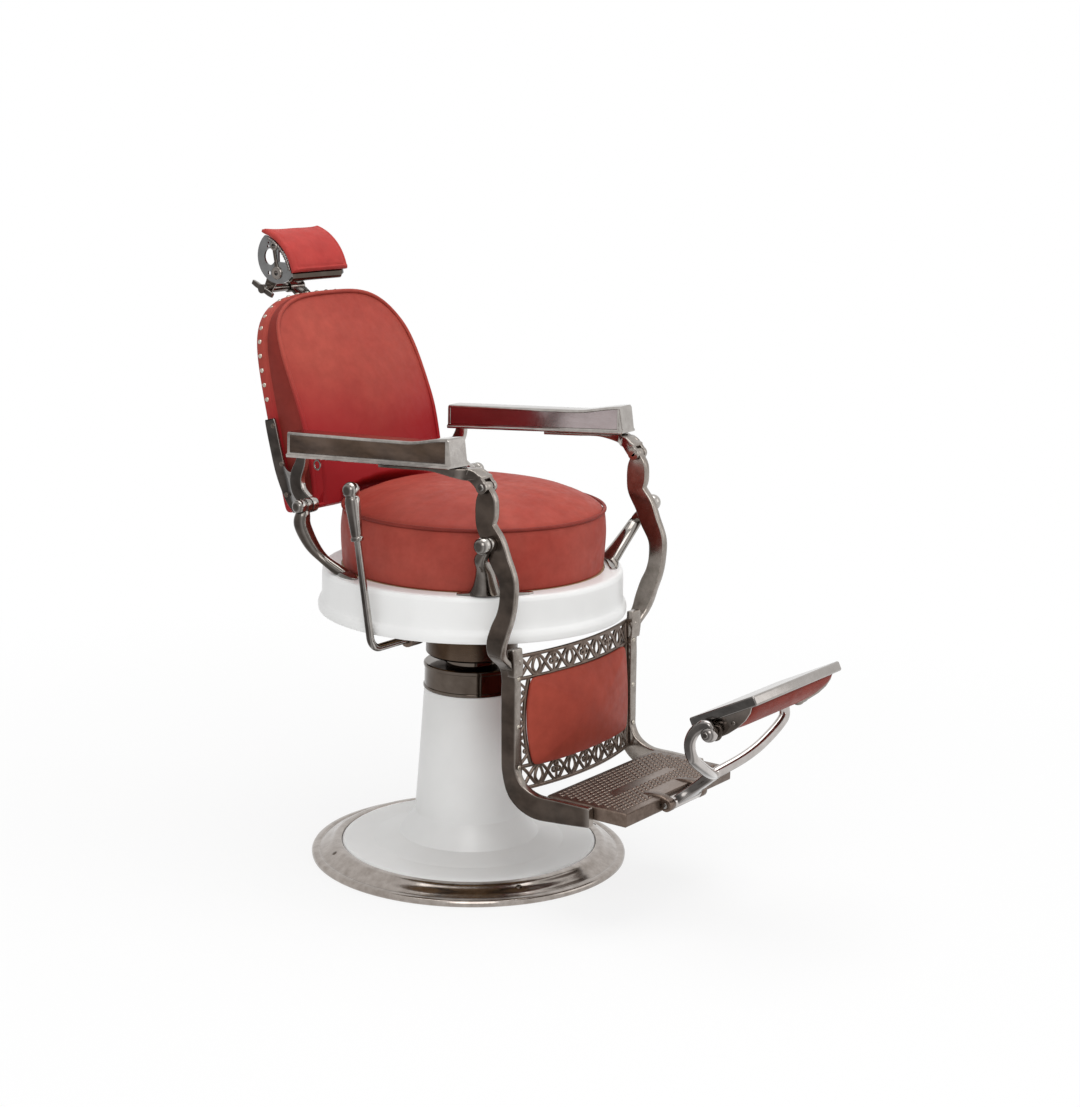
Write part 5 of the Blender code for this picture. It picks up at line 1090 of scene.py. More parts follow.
def make_headrest_plates():
    """Round pierced plates under the pad, and a tab from the right one to the hinge."""
    outline = []
    for c, s in turns(120):
        spot = PLATE_MIDDLE + PLATE_RADIUS * Vector((0, c, s))
        away = spot - HEAD_CENTRE
        if away.length > PLATE_CURVE:
            spot = HEAD_CENTRE + away.normalized() * PLATE_CURVE
        outline.append((spot.y, spot.z))
    wedge = [(-0.003, 0.015), (-0.003, -0.007), (-0.005, -0.0095), (-0.026, -0.0095), (-0.031, -0.008),
             (-0.027, 0.001), (-0.016, 0.010), (-0.006, 0.0165)]
    openings = [plate_hole(0.0200, -0.001, 0.0140, 0.0160),
                moved(curve_through(wedge, 4, closed=True), PLATE_MIDDLE.y, PLATE_MIDDLE.z),
                plate_hole(0.0215, -0.0325, 0.0035, 0.0045, 16), plate_hole(0.024, 0.019, 0.0028, 0.0032, 12),
                plate_hole(0.0235, 0.026, 0.0020, 0.0022, 12)]
    flat_foot = PLATE_MIDDLE.z - 0.0450
    for side, name in zip((-1, 1), SIDES):
        edge = outline if side < 0 else [(y, max(z, flat_foot)) for y, z in outline]
        disc = pierced(edge, openings, side * PLATE_IN, side * PLATE_OUT)
        piece("headrest_plate_disc_" + name, disc, "headrest", PLATE, ("headrest_plate_" + name,))
    x, thin = (PLATE_IN + PLATE_OUT) / -2, PLATE_OUT - PLATE_IN - 0.0004
    tab = bar([(x, HEAD_HINGE.y + y, HEAD_HINGE.z + z, wide, thin)
               for y, z, wide in ((0, 0, 0.022), (-0.006, 0.010, 0.024), (-0.012, 0.022, 0.030))], 6, 0.0008)
    eye = boss(HEAD_HINGE, -PLATE_OUT + 0.0001, -PLATE_IN - 0.0001, 0.0115)
    piece("headrest_plate_tab", joined(tab, eye), "headrest", SATIN)


def make_headrest_trim():
    """On each plate a spoke with a boss at its foot and an eye at its top, and beads along the pad's edge."""
    foot, eye = PLATE_MIDDLE + Vector((0, 0.001, -0.0312)), PLATE_MIDDLE + Vector((0, 0.0080, 0.0200))
    face, thick, bore = PLATE_OUT + 0.0012, 0.0026, 0.0050
    spoke = [(foot.y, foot.z, 0.015), (foot.y + 0.0015, foot.z + 0.016, 0.0075),
             (eye.y - 0.001, eye.z - 0.012, 0.0065), (eye.y, eye.z, 0.010)]
    parts = [bar([(face, *knot, thick) for knot in spoke], 8, 0.0010)]
    for spot, radius in ((foot, 0.0125), (eye, 0.0085)):
        ring = moved([(bore, 0), (radius, 0), (radius, 0.0022), (radius - 0.001, 0.0032), (bore, 0.0032)],
                     0, PLATE_OUT)
        parts.append(across_x(lathe(ring, 40), spot))
    both_sides("headrest_spoke", joined(*parts), "headrest", SATIN)
    # Painted shade: black discs fill the bores to stand for their dark insides.
    bore_shade_discs = [boss(spot, PLATE_OUT - 0.0005, face, 0.0052, 0.0003, 24) for spot in (foot, eye)]
    both_sides("headrest_spoke_bores", joined(*bore_shade_discs), "headrest", RUBBER)
    reach = PLATE_CURVE - 0.0035
    angles = [radians(112.0 + 50.0 * share) for share in shares(14)]
    spots = [HEAD_CENTRE + Vector((PLATE_OUT, reach * cos(angle), reach * sin(angle))) for angle in angles]
    both_sides("headrest_beads", studs(spots, (1, 0, 0), 0.0034, 0.0030, 10), "headrest", NICKEL)


def make_headrest_roll():
    """Oval bar under the pad."""
    low, high = BOXES["headrest_front_bar"]
    middle = (low + high) / 2
    roll = rod([(low.x + (high.x - low.x) * share, 0, 0) for share in shares(12)], 1.0, 24)
    bmesh.ops.scale(roll, vec=(1, 0.0068, 0.0105), verts=roll.verts)
    bmesh.ops.translate(roll, vec=(0, middle.y, middle.z - 0.0070), verts=roll.verts)
    piece("headrest_roll", roll, "headrest", DARK, ("headrest_front_bar",))


def make_headrest_bar():
    """Flat bar behind the back, straight through its socket and bent forward to the hinge."""
    hinge = HEAD_HINGE - BACK_FOOT
    rise, ahead, straight = hinge.dot(BACK_UP), hinge.dot(BACK_AHEAD), -0.0225
    thick, broad = 0.0074, 0.0412
    bends = [(rise - 0.250, straight), (0.65 * rise, straight), (0.80 * rise, straight),
             (0.83 * rise, -0.0226), (0.88 * rise, -0.0245), (0.932 * rise, -0.0365),
             (0.975 * rise, ahead + 0.012), (rise, ahead)]
    knots = [(0, *back_place(0, up, out).yz, thick, broad) for up, out in bends]
    forged = joined(bar(knots, 8, 0.0014), boss(HEAD_HINGE, -0.0205, 0.0205, 0.0113))
    piece("headrest_bar_forged", forged, "headrest_post", SATIN, ("headrest_bar",))


# Arms
def arm_levels(share):
    """Foot and top of an arm above its rear pivot, at a share of its length from the rear."""
    nose = max(0.0, (share - 0.74) / 0.26)
    nose = nose * nose * (3 - 2 * nose)
    return -0.0112 + 0.0275 * share, 0.0358 + 0.0235 * share + 0.010 * nose


def arm_place(run, x, z):
    """Point of an arm in its own frame, at a run from its tail; the nose leans forward to its foot."""
    low, high = arm_levels(run / ARM_LENGTH)
    lean = 0.008 * max(0.0, 1 - (ARM_LENGTH - run) / 0.004)
    return (x, ARM_TAIL - run - lean * (high - z) / (high - low), z)


def arm_section(run):
    """Half of an arm's section at a run: flange, sunk side panel between the margins, and rounded top."""
    low, high = arm_levels(run / ARM_LENGTH)
    wide, flange, soft = ARM_HALF, ARM_HALF + 0.0035, 0.004
    side = wide - ARM_SINK if ARM_MARGIN < run < ARM_LENGTH - ARM_MARGIN else wide
    shrink = 0.055 if run in (0.0, ARM_LENGTH) else 0.0
    foot, head = low + 0.0085, high - 0.0050
    points = moved([(-0.0012, 0), (-0.0002, 0.0010), (0, 0.0022), (-0.0003, 0.0038), (-0.0014, 0.0048)],
                   flange, low)
    points += [(wide + 0.0008, low + 0.0052), (wide, low + 0.0062), (wide, foot), (side, foot + 0.0007),
               (side, head - 0.0007), (wide, head)]
    points += [(wide - soft + soft * cos(a), high - soft + soft * sin(a))
               for a in (pi / 2 * t for t in shares(4))]
    points.append((wide * 0.45, high + 0.0002))
    middle = (low + high) / 2
    return [(x * (1 - shrink), middle + (z - middle) * (1 - 1.6 * shrink)) for x, z in points]


def make_arm_castings():
    """Cast arms: a flange round the foot, sunk side panels and a raised nose."""
    ends = [0.0, 0.0016, 0.004, ARM_MARGIN - 0.0004, ARM_MARGIN + 0.0004]
    runs = [*ends, *(ARM_MARGIN + 0.002 + (ARM_LENGTH - 2 * ARM_MARGIN - 0.004) * t for t in shares(36)),
            *(ARM_LENGTH - run for run in reversed(ends))]
    rings = []
    for run in runs:
        right = arm_section(run)
        section = right + [(-x, z) for x, z in reversed(right)]
        rings.append([arm_place(run, x, z) for x, z in section])
    cast = skin(rings)
    cast.transform(ARM_ROOT)
    both_sides("armrest_cast", cast, ARM_BODIES, ARM, "armrest", 24)


def make_arm_inlays():
    """Plates in the sunk panels of the arms, dark by the painted shade that their material puts on sideways faces.
    """
    def sheet(x):
        def place(v, u):
            run = ARM_MARGIN + 0.0008 + (ARM_LENGTH - 2 * ARM_MARGIN - 0.0016) * v
            low, high = arm_levels(run / ARM_LENGTH)
            foot, head = low + 0.0094, high - 0.0059
            return arm_place(run, x, foot + (head - foot) * u)
        return grid(36, 4, place)
    depths = (ARM_SINK - 0.0005, ARM_SINK + 0.0006)
    plates = [slab(*(sheet(side * (ARM_HALF - depth)) for depth in depths)) for side in (-1, 1)]
    inlays = joined(*plates)
    inlays.transform(ARM_ROOT)
    both_sides("armrest_inlay", inlays, ARM_BODIES, INLAY)


def make_arm_brackets():
    """Goosenecks under the arms, forked round the leg irons' eyes."""
    def under_arm(y):
        return ARM_REAR.z + arm_levels((ARM_REAR.y + ARM_TAIL - y) / ARM_LENGTH)[0] - 0.0003

    def arm_x(y):
        return IRON_X + (ARM_REAR.y - y) * sin(ARM_SPLAY)

    def near_eye(x, behind, up, width, thick):
        return (x, ARM_FRONT.y + behind, ARM_FRONT.z + up, width, thick)
    front = ARM_REAR.y + ARM_TAIL - ARM_LENGTH
    broad, plate = 0.034, 0.0065
    knots = [(arm_x(y), y, under_arm(y) - plate / 2 - 0.0002, plate, broad)
             for y in (front + 0.173, front + 0.103, front + 0.05)]
    knots += [(arm_x(front) - 0.006, front + 0.006, under_arm(front) - 0.0080, 0.015, broad),
              (IRON_X + 0.008, front - 0.014, under_arm(front) - 0.0105, 0.0200, broad)]
    knots += [near_eye(IRON_X + out, behind, up, width, broad) for out, behind, up, width in (
        (0.004, 0.0215, 0.0205, 0.0190), (0.001, 0.0100, 0.0182, 0.0110), (0, 0.0005, 0.0162, 0.0068))]
    parts = [bar(knots, 8, 0.0022)]
    cheek = broad / 2 - IRON_THICK / 2 - 0.0006
    for side in (-1, 1):
        x = IRON_X + side * (broad / 2 - cheek / 2)
        fork = [near_eye(x + out, behind, up, width, cheek) for out, behind, up, width in (
            (0.006, 0.0275, 0.0215, 0.0195), (0.002, 0.0165, 0.0165, 0.0215), (0, 0.0070, 0.0080, 0.0220),
            (0, 0, 0, 0.0215))]
        parts.append(bar(fork, 8, 0.0018))
        parts.append(boss(ARM_FRONT, x - cheek / 2, x + cheek / 2, 0.0115))
    both_sides("arm_bracket_forged", joined(*parts), ARM_BODIES, SATIN, "arm_bracket")
    head = dome(ARM_FRONT + Vector((IRON_X + broad / 2, 0, 0)), (1, 0, 0), 0.0066, 0.0036, 20)
    both_sides("arm_front_bolt_head", head, "leg_frame", NICKEL)
    spots = [Vector((arm_x(y), y, under_arm(y) - plate - 0.0003)) for y in (front + 0.160, front + 0.100)]
    both_sides("arm_bracket_screws", studs(spots, (0, 0, -1), 0.0055, 0.0026), ARM_BODIES, DARK)


def make_strop_ring():
    """Wire ring for the strop, on the right arm."""
    low, high = BOXES["strop_ring"]
    radius = 0.0085
    turn = Matrix.Translation((low + high) / 2) @ Matrix.Rotation(radians(80), 4, "Z")
    circle = [turn @ Vector((radius * c, 0, radius * s)) for c, s in turns(48)]
    piece("strop_ring_wire", rod(circle, 0.0016, 10, closed=True), "arm_right", NICKEL, ("strop_ring",))


# Back irons and stands
def make_back_irons():
    """Strap on the side of the back, link between the two pivots, and a hollowed web between them."""
    strap_x, strap_thick = BACK_HALF + 0.0043, 0.007
    link_wide, link_thick = 0.026, 0.014
    rise = ARM_REAR.z - BACK_PIVOT.z
    strap = [(strap_x, *back_place(0, up, ahead).yz, width, strap_thick) for up, ahead, width in (
        (0.1535, 0, 0.019), (0.148, 0, 0.025), (0.10, 0.0005, 0.026), (0.05, 0.003, 0.026),
        (0.005, 0.013, 0.026), (-0.022, 0.026, 0.025))]
    link = [(IRON_X, ARM_REAR.y + rise * behind, ARM_REAR.z - rise * down, link_wide * width, link_thick)
            for behind, down, width in (
                (0, 0, 0.77), (0.03, 0.22, 0.92), (0.15, 0.53, 1.08), (0.085, 0.80, 1.08))]
    link.append((IRON_X, BACK_PIVOT.y, BACK_PIVOT.z, link_wide, link_thick))
    link_foot = BACK_PIVOT + Vector((IRON_X, 0.014, -0.008))
    link_head = ARM_REAR + Vector((IRON_X, 0.011, -0.028))
    strap_foot, strap_head = back_place(strap_x, -0.014, 0.016), back_place(strap_x, 0.070, 0.010)

    def web(half):
        def place(u, v):
            spot = link_foot.lerp(link_head, v).lerp(strap_foot.lerp(strap_head, v), u)
            spot.z += sin(pi * u) * (0.004 - 0.020 * v)
            spot.x += half * (1 - 0.5 * abs(2 * v - 1) ** 6)
            return spot
        return grid(18, 8, place)
    half = IRON_THICK / 2 - 0.0005
    eyes = [boss(pivot, IRON_X - half, IRON_X + half, radius)
            for pivot, radius in ((BACK_PIVOT, 0.015), (ARM_REAR, 0.011))]
    iron = joined(bar(strap, 8, 0.0018), bar(link), slab(web(0.0032), web(-0.0032)), *eyes)
    both_sides("back_iron_forged", iron, "back", NICKEL, "back_iron")
    spots = [BACK_PIVOT + Vector((strap_x + strap_thick / 2, behind, up))
             for behind, up in ((0.1234, 0.1295), (0.1022, 0.0593), (0.0898, 0.0015))]
    both_sides("back_iron_screws", studs(spots, (1, 0, 0), 0.0052, 0.0024, 18), "back", DARK)


RING_TOP = BOXES["seat_ring"][1].z
STAND_FOOT_IN = BOXES["seat_cushion"][1].x + 0.002
STAND_FOOT_OUT = BOXES["seat_ring"][1].x - 0.0145
STAND_FOOT = (STAND_FOOT_IN + STAND_FOOT_OUT) / 2


def stand_plate(start, end):
    """Curved foot on the seat ring, between two angles."""
    rings = []
    for share in shares(24):
        angle = start + (end - start) * share
        spread = (STAND_FOOT_OUT - STAND_FOOT_IN) / 2 * (0.25 + 0.75 * sin(pi * share) ** 0.5)
        low, high = RING_TOP + 0.0003, RING_TOP + 0.0033 + 0.0042 * sin(pi * share)
        section = [(-1, low), (1, low), (0.99, (low + high) / 2), (0.86, high - 0.0006), (0.6, high),
                   (-0.6, high), (-0.86, high - 0.0006), (-0.99, (low + high) / 2)]
        rings.append([((STAND_FOOT + a * spread) * cos(angle), -(STAND_FOOT + a * spread) * sin(angle), z)
                      for a, z in section])
    return skin(rings)


def stand_stem(pivot, root, foot_size, bends):
    """Oval stem from the ring at an angle up to a pivot, through bends of (share, out, back, half, depth)."""
    foot = Vector((STAND_FOOT * cos(root), -STAND_FOOT * sin(root), RING_TOP + 0.0023))
    top = Vector(((STAND_IN + STAND_OUT) / 2, pivot.y, pivot.z))
    broad = Vector((-sin(root), -cos(root), 0))
    knots = [(*foot, *foot_size)]
    for share, out, back, half, depth in bends:
        along = foot.lerp(top, share)
        knots.append((along.x + out, along.y + back, along.z, half, depth))
    knots.append((*(top - Vector((0, 0, 0.002))), 0.0085, 0.0080))
    path = curve_through(knots, 8)
    rings = []
    for i, (x, y, z, half, depth) in enumerate(path):
        run = Vector(path[min(i + 1, len(path) - 1)][:3]) - Vector(path[max(i - 1, 0)][:3])
        run.x, run.y = run.x / 2, run.y / 2
        deep = run.normalized().cross(broad).normalized()
        ring = []
        for c, s in turns(28):
            spot = Vector((x, y, z)) + broad * half * c + deep * depth * s
            if spot.z > pivot.z - 0.033:
                spot.x = max(spot.x, STAND_IN + 0.0004)
            spot.z = max(spot.z, RING_TOP + 0.0012)
            ring.append(spot)
        rings.append(ring)
    return skin(rings)


def make_stand(name, bolt, pivot, degrees, foot_size, ball_size, bends):
    """Cast stand with a curved foot on the seat ring, an oval stem and a boss with a ball-headed bolt."""
    start, end, root = (radians(angle) for angle in degrees)
    cast = joined(stand_plate(start, end), stand_stem(pivot, root, foot_size, bends),
                  boss(pivot, STAND_IN, STAND_OUT, 0.014, 0.0014, 48))
    both_sides(name + "_cast", cast, "seat", STAND, name)
    head = ball(Vector((STAND_OUT + 0.62 * ball_size, pivot.y, pivot.z)), ball_size)
    neck = boss(pivot, STAND_OUT + 0.0001, STAND_OUT + 0.0022, 0.0130, 0.0008)
    both_sides(bolt + "_ball", joined(head, neck), "seat", NICKEL, bolt + "_bolt")


def make_stands():
    """Front and rear stands, with the angles of each foot's ends and of its stem."""
    make_stand("front_stand", "leg_pivot", LEG_PIVOT, (31, 61, 42), (0.034, 0.0160), 0.0160,
               [(0.06, 0.000, -0.001, 0.0285, 0.0160), (0.22, 0.001, -0.001, 0.0225, 0.0145),
                (0.50, 0.004, 0.001, 0.0168, 0.0130), (0.74, 0.011, 0.005, 0.0130, 0.0115)])
    make_stand("rear_stand", "back_pivot", BACK_PIVOT, (-32, -16, -27), (0.015, 0.0122), 0.0140,
               [(0.18, 0.003, 0.026, 0.0105, 0.0105), (0.385, 0.007, 0.034, 0.0130, 0.0140),
                (0.69, 0.0124, 0.024, 0.0150, 0.0160), (0.87, 0.0090, 0.010, 0.0130, 0.0140)])


# Legs
def make_leg_irons():
    """S-shaped irons: an eye at the arm, a bow past the pivot, a step inwards, a foot under the platform."""
    drop = LEG_PIVOT.z - BOXES["foot_platform"][1].z
    rise, back = ARM_FRONT.z - LEG_PIVOT.z, ARM_FRONT.y - LEG_PIVOT.y
    wide, bow, toe, under = 0.032, 0.0352, 0.183, 0.025

    def knot(step, ahead, up, width, extra=0.0):
        return (IRON_X - (IRON_X - LEG_HALF) * step + extra / 2, LEG_PIVOT.y - ahead, LEG_PIVOT.z + up,
                wide * width, IRON_THICK + extra)
    knots = [knot(0, -back, rise, 0.59)]
    knots += [knot(0, -0.85 * back, rise * up, width)
              for up, width in ((0.79, 1.25), (0.53, 1.38), (0.285, 1.19))]
    knots += [knot(step, bow * ahead, -drop * down, width, extra) for step, ahead, down, width, extra in (
        (0, 0.11, 0, 1.31, 0), (0, 0.47, 0.061, 1.28, 0), (0, 0.96, 0.137, 1.12, 0),
        (0, 1.00, 0.214, 1.03, 0), (0, 0.84, 0.279, 1.06, 0), (0, 0.52, 0.340, 1.16, 0),
        (0.03, 0.28, 0.399, 1.16, 0.001), (0.22, 0.17, 0.451, 1.02, 0.002), (0.84, 0.16, 0.509, 0.96, 0.003),
        (0.99, 0.185, 0.560, 0.98, 0.004), (1, 0.20, 0.621, 1.00, 0.005), (1, 0.26, 0.858, 0.97, 0.005),
        (1, 0.34, 0.939, 1.00, 0.004))]
    knots += [knot(1, toe * ahead, -drop - under * down, width, extra) for ahead, down, width, extra in (
        (0.158, 0.16, 1.28, 0.003), (0.350, 0.86, 1.375, 0.002), (0.628, 0.86, 1.30, 0.001),
        (1, 0.74, 1.125, 0))]
    eye = boss(ARM_FRONT, IRON_X - IRON_THICK / 2, IRON_X + IRON_THICK / 2, 0.0105)
    both_sides("leg_iron_forged", joined(bar(knots, 9, 0.0034), eye), "leg_frame", IRON, "leg_iron")


def make_leg_fittings():
    """Screws down the front of the leg irons, and lugs at the top of the panel."""
    def spot(out, ahead, down):
        return Vector((LEG_HALF + out, LEG_PIVOT.y - ahead, LEG_PIVOT.z - down))
    spots = [spot(0, 0.02225, 0.2532), spot(0, 0.02405, 0.3418), spot(0, 0.02705, 0.4173)]
    both_sides("leg_iron_screws", studs(spots, (0, -1, 0), 0.0046, 0.0022, 18), "leg_frame", NAIL)
    lug = bar([(*spot(0.0040, 0.01655, 0.2472), 0.0150, 0.0270),
               (*spot(0.0050, 0.01705, 0.2232), 0.0160, 0.0290),
               (*spot(0.0060, 0.01555, 0.1982), 0.0140, 0.0280)], 6, 0.0022)
    screw = dome(spot(0.0015, 0.02505, 0.2212), (0, -1, 0), 0.0044, 0.0020, 16)
    both_sides("leg_panel_lug", joined(lug, screw), "leg_frame", IRON)


def make_platform():
    """Foot platform with rows of raised scales round a bare strip, and horns that carry the yoke's eye."""
    refined("foot_platform", CAST, 0.0022, 3)
    high = BOXES["foot_platform"][1]
    top, edge, deep = high.z, 0.013, 0.170
    half, rear, front = high.x - edge, high.y - edge, high.y - deep + edge
    pitch, row_pitch = 0.0140, 0.0098
    scales = []
    for row in range(int((rear - front) / row_pitch) + 1):
        y = rear - row_pitch * row
        count = int(half * 2 / pitch) + row % 2
        for k in range(count):
            x = (k - (count - 1) / 2) * pitch
            on_strip = abs(x) < STRIP_REACH and abs(y - (rear + front) / 2) < STRIP_HALF
            by_horns = abs(x) < HORN_REACH and y < front + HORN_DEPTH
            if on_strip or by_horns:
                continue
            scale = dome(Vector((0, 0, 0)), (0, 0, 1), 1.0, 1.0, 12)
            scale.transform(Matrix.Translation((x, y, top + 0.0003)) @ Matrix.Diagonal(SCALE_SIZE))
            scales.append(scale)
    piece("foot_platform_scales", joined(*scales), "leg_frame", CAST, sharp=60)
    horn_x, tip = 0.0536, YOKE_PIVOT.y
    horn = bar([(horn_x, tip + 0.050, top - 0.0020, 0.0050, 0.0165),
                (horn_x, tip + 0.030, top - 0.0005, 0.0090, 0.0180),
                (horn_x, tip + 0.012, top - 0.0045, 0.0165, 0.0184),
                (horn_x, tip - 0.001, YOKE_PIVOT.z, 0.0225, 0.0180)])
    eye = boss(YOKE_PIVOT, 0.0447, 0.0625, 0.0122, 0.0020)
    both_sides("foot_platform_horn", joined(horn, eye), "leg_frame", CAST)


# Foot yoke and foot pad
def make_yoke():
    """Forked yoke: an eye on the platform, a tongue and two arms that curl up to ball joints."""
    half, radius, taper_steps = 0.1628, 0.0100, 14
    reach, rise = YOKE_PIVOT.y - PAD_PIVOT.y, PAD_PIVOT.z - YOKE_PIVOT.z
    knots = [(0, 0.060, 0.056), (0.058, 0.086, 0.078), (0.105, 0.101, 0.101), (half - 0.006, 0.110, 0.134),
             (half, 0.107, 0.160), (half, 0.114, 0.181), (half, 0.129, 0.1955),
             (half - 0.0005, reach - 0.002, rise + 0.0150), (half - 0.001, reach + 0.006, rise + 0.0085)]
    path = [Vector((x, YOKE_PIVOT.y - ahead, YOKE_PIVOT.z + up)) for x, ahead, up in curve_through(knots, 8)]
    whole = [Vector((-p.x, p.y, p.z)) for p in reversed(path[1:])] + path
    last = len(whole) - 1
    radii = [radius * min(1.0, 0.62 + 0.40 * min(i, last - i) / taper_steps) for i in range(last + 1)]
    tongue = bar([(0, YOKE_PIVOT.y - ahead, YOKE_PIVOT.z + up, width, thick) for ahead, up, width, thick in (
        (0, 0, 0.018, 0.080), (0.012, 0.011, 0.017, 0.070), (0.030, 0.028, 0.017, 0.040),
        (0.060, 0.056, 0.020, 0.028))], 8, 0.0040)
    balls = [ball(PAD_PIVOT + Vector((side * YOKE_BALL_X, 0, 0)), YOKE_BALL_RADIUS) for side in (-1, 1)]
    yoke = joined(rod(whole, radii, 20), tongue, boss(YOKE_PIVOT, -0.044, 0.044, 0.0115), *balls)
    piece("foot_yoke_forged", yoke, "foot_yoke", YOKE_METAL, ("foot_yoke",), sharp=45)
    face = YOKE_BALL_X + YOKE_BALL_RADIUS - 0.0012
    bolt = joined(dome(PAD_PIVOT + Vector((face, 0, 0)), (1, 0, 0), 0.0058, 0.0030, 24),
                  boss(PAD_PIVOT, face - 0.033, face, 0.0048, 0.0004, 20))
    both_sides("foot_pad_bolt_domed", bolt, "foot_yoke", NICKEL, "foot_pad_bolt")


def make_foot_pad_metal():
    """Tray and cheeks, with a screw and a washer against the ball joint on each cheek."""
    refined("foot_pad_tray", TRAY, 0.0024, 4)
    for side in SIDES:
        refined("foot_pad_cheek_" + side, SATIN)
    face = BOXES["foot_pad_cheek_left"][1].x
    screw = dome(PAD_PIVOT + Vector((face, -0.03565, 0.0221)), (1, 0, 0), 0.0042, 0.0022)
    washer_end = min(face + 0.0016, YOKE_BALL_X - YOKE_BALL_RADIUS - 0.0003)
    washer = boss(PAD_PIVOT, face + 0.0002, washer_end, 0.0165, 0.0004)
    both_sides("foot_pad_cheek_screw", joined(screw, washer), "foot_pad", SATIN)


# Pump lever
def make_lever():
    """Drawn rod with an elbow, and a turned grip with a bead at its foot and a round knob."""
    lean_angle, bend, radius, taper = radians(10.0), 0.022, 0.0072, 0.10
    grip_foot, grip_tall, knob = 0.198, 0.092, 0.0155
    lean = Vector((0, sin(lean_angle), cos(lean_angle)))
    elbow = Vector((-BOXES["seat_ring"][1].x - 0.0085, LEVER_PIVOT.y, LEVER_PIVOT.z))
    points = [Vector((BOXES["lever_rod"][1].x, LEVER_PIVOT.y, LEVER_PIVOT.z)),
              elbow + Vector((bend * 1.6, 0, 0))]
    points += [elbow + Vector((bend * (1 - sin(a)), 0, 0)) + lean * bend * (1 - cos(a))
               for a in (pi / 2 * t for t in shares(14))]
    radii = [radius] * len(points) + [radius * (1 - taper * t) for t in shares(6, 1)]
    points += [elbow + lean * (bend + (grip_foot - bend - 0.0003) * t) for t in shares(6, 1)]
    piece("lever_rod_drawn", rod(points, radii, 24), "lever", NICKEL, ("lever_rod",))
    outline = [(0.0100, 0.0), (0.0112, 0.0008), (0.0116, 0.0025), (0.0116, 0.0052), (0.0110, 0.0068),
               (0.0100, 0.0076), (0.0097, 0.0088), (0.0102, 0.0102)]
    outline += curve_through([(0.0106, 0.013), (0.0122, 0.040), (0.0138, 0.066), (0.0134, 0.0755),
                              (0.0118, 0.0800)], 5)
    outline += [(knob * cos(a), grip_tall + knob * sin(a))
                for a in (radians(-40 + 130 * t) for t in shares(18))]
    grip = lathe(outline, 48, hollow=False)
    grip.transform(Matrix.Translation(elbow + lean * grip_foot) @ Matrix.Rotation(-lean_angle, 4, "X"))
    piece("lever_grip_turned", grip, "lever", NICKEL, ("lever_grip",), sharp=45)


# Light, floor and camera
def seen_share(tree):
    """1 for rays that show the surroundings, 0 for those that light the chair."""
    path = add(tree, "ShaderNodeLightPath").outputs
    mirrored = maths(tree, "MAXIMUM", path["Is Camera Ray"], path["Is Glossy Ray"])
    return maths(tree, "MAXIMUM", mirrored, path["Is Transmission Ray"])


def make_world():
    """White surroundings that light the chair less than they show."""
    world = bpy.data.worlds.new("studio")
    bpy.context.scene.world = world
    world.use_nodes = True
    tree = world.node_tree
    background = tree.nodes["Background"].inputs
    feed(tree, background["Color"], (1, 1, 1))
    feed(tree, background["Strength"], eased(tree, seen_share(tree), 0, 1, AMBIENT, 1.0))


def make_floor():
    """White floor, which keeps the chair's shadow."""
    bm = bmesh.new()
    bm.faces.new([bm.verts.new((x * FLOOR_HALF, y * FLOOR_HALF, FLOOR_Z))
                  for x, y in ((-1, -1), (1, -1), (1, 1), (-1, 1))])
    mesh = bpy.data.meshes.new("floor")
    bm.to_mesh(mesh)
    bm.free()
    floor = in_scene("floor", mesh)
    made, tree, shader = new_material("pale_floor", "pale_floor")
    feed(tree, shader.inputs["Base Color"], (0.90, 0.90, 0.90))
    feed(tree, shader.inputs["Roughness"], 0.9)
    glow = add(tree, "ShaderNodeEmission", Strength=1.0)
    away = add(tree, "ShaderNodeVectorMath", operation="LENGTH")
    feed(tree, away.inputs[0], coordinates(tree))
    white = eased(tree, away.outputs["Value"], 0.35, 2.2, FLOOR_NEAR, FLOOR_FAR)
    mix = add(tree, "ShaderNodeMixShader")
    shown = maths(tree, "MULTIPLY", seen_share(tree), white)
    for socket, value in zip(mix.inputs, (shown, shader.outputs[0], glow.outputs[0])):
        feed(tree, socket, value)
    feed(tree, tree.nodes["Material Output"].inputs["Surface"], mix.outputs[0])
    mesh.materials.append(made)


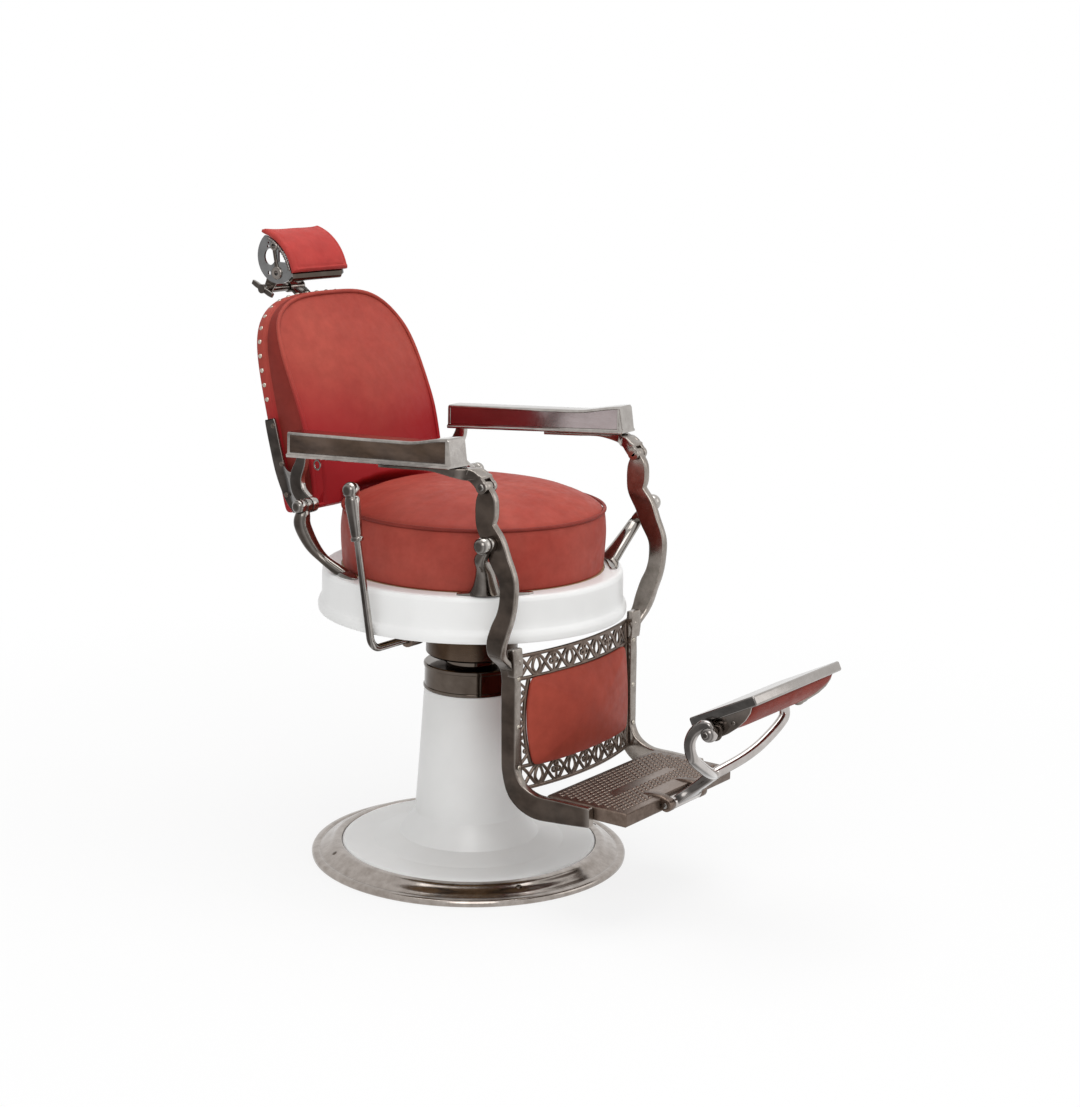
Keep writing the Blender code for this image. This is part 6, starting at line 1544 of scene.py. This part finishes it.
def make_lamps():
    for name, place, width, power in LAMPS:
        lamp = bpy.data.lights.new(name, "AREA")
        lamp.shape = "SQUARE"
        lamp.size = width
        lamp.energy = power
        made = in_scene(name, lamp)
        made.location = place
        made.rotation_euler = (LAMP_AIM - Vector(place)).to_track_quat("-Z", "Y").to_euler()


def make_camera():
    camera = bpy.data.cameras.new("camera")
    camera.sensor_width = SENSOR
    camera.lens = FOCAL_PIXELS * SENSOR / PHOTO_HEIGHT
    made = in_scene("camera", camera)
    flat = Vector((-sin(CAMERA_HEADING), cos(CAMERA_HEADING), 0))
    ahead = flat * cos(CAMERA_PITCH) + Vector((0, 0, sin(CAMERA_PITCH)))
    right = ahead.cross(Vector((0, 0, 1))).normalized()
    up = right.cross(ahead)
    c, s = cos(CAMERA_ROLL), sin(CAMERA_ROLL)
    turn = Matrix((c * right + s * up, c * up - s * right, -ahead)).transposed().to_4x4()
    made.matrix_world = Matrix.Translation(CAMERA_PLACE) @ turn
    bpy.context.scene.camera = made


bpy.context.scene.view_settings.view_transform = "Standard"
make_camera()
make_world()
make_floor()
make_lamps()
make_base_ring()
make_column()
make_collar()
make_seat_ring()
make_seat_pad()
make_back_pad()
make_back_skirt()
make_back_rear()
make_back_nails()
make_back_irons()
make_stands()
make_arm_castings()
make_arm_inlays()
make_arm_brackets()
make_strop_ring()
make_leg_irons()
make_leg_fittings()
make_panel()
make_leg_pad()
make_platform()
make_yoke()
make_foot_pad_metal()
make_foot_pad_stuffing()
make_headrest_pad()
make_headrest_plates()
make_headrest_trim()
make_headrest_roll()
make_lever()
refined("headrest_socket", NICKEL, 0)
make_headrest_bar()
refined("headrest_hinge_rod", SATIN, 0.0006)
refined("clamp_screw", NICKEL, 0.0014, 3)
refined("pump_cylinder", CAST)
refined("lever_bearing", CAST)
# Painted shade: the lift ram takes the dark nickel to stand for the shade in the gap under the seat.
refined("lift_ram", DARK, 0.0004)
refined("yoke_pin", STEEL, 0.0004)
for side in SIDES:
    for pin in ("arm_rear_pin_", "arm_front_pin_"):
        refined(pin + side, STEEL, 0.0004)
refined("seat_spider", BRONZE)
refined("guide_bush", BRONZE)
refined("seat_board", WOOD)
refined("cup_seal", RUBBER)
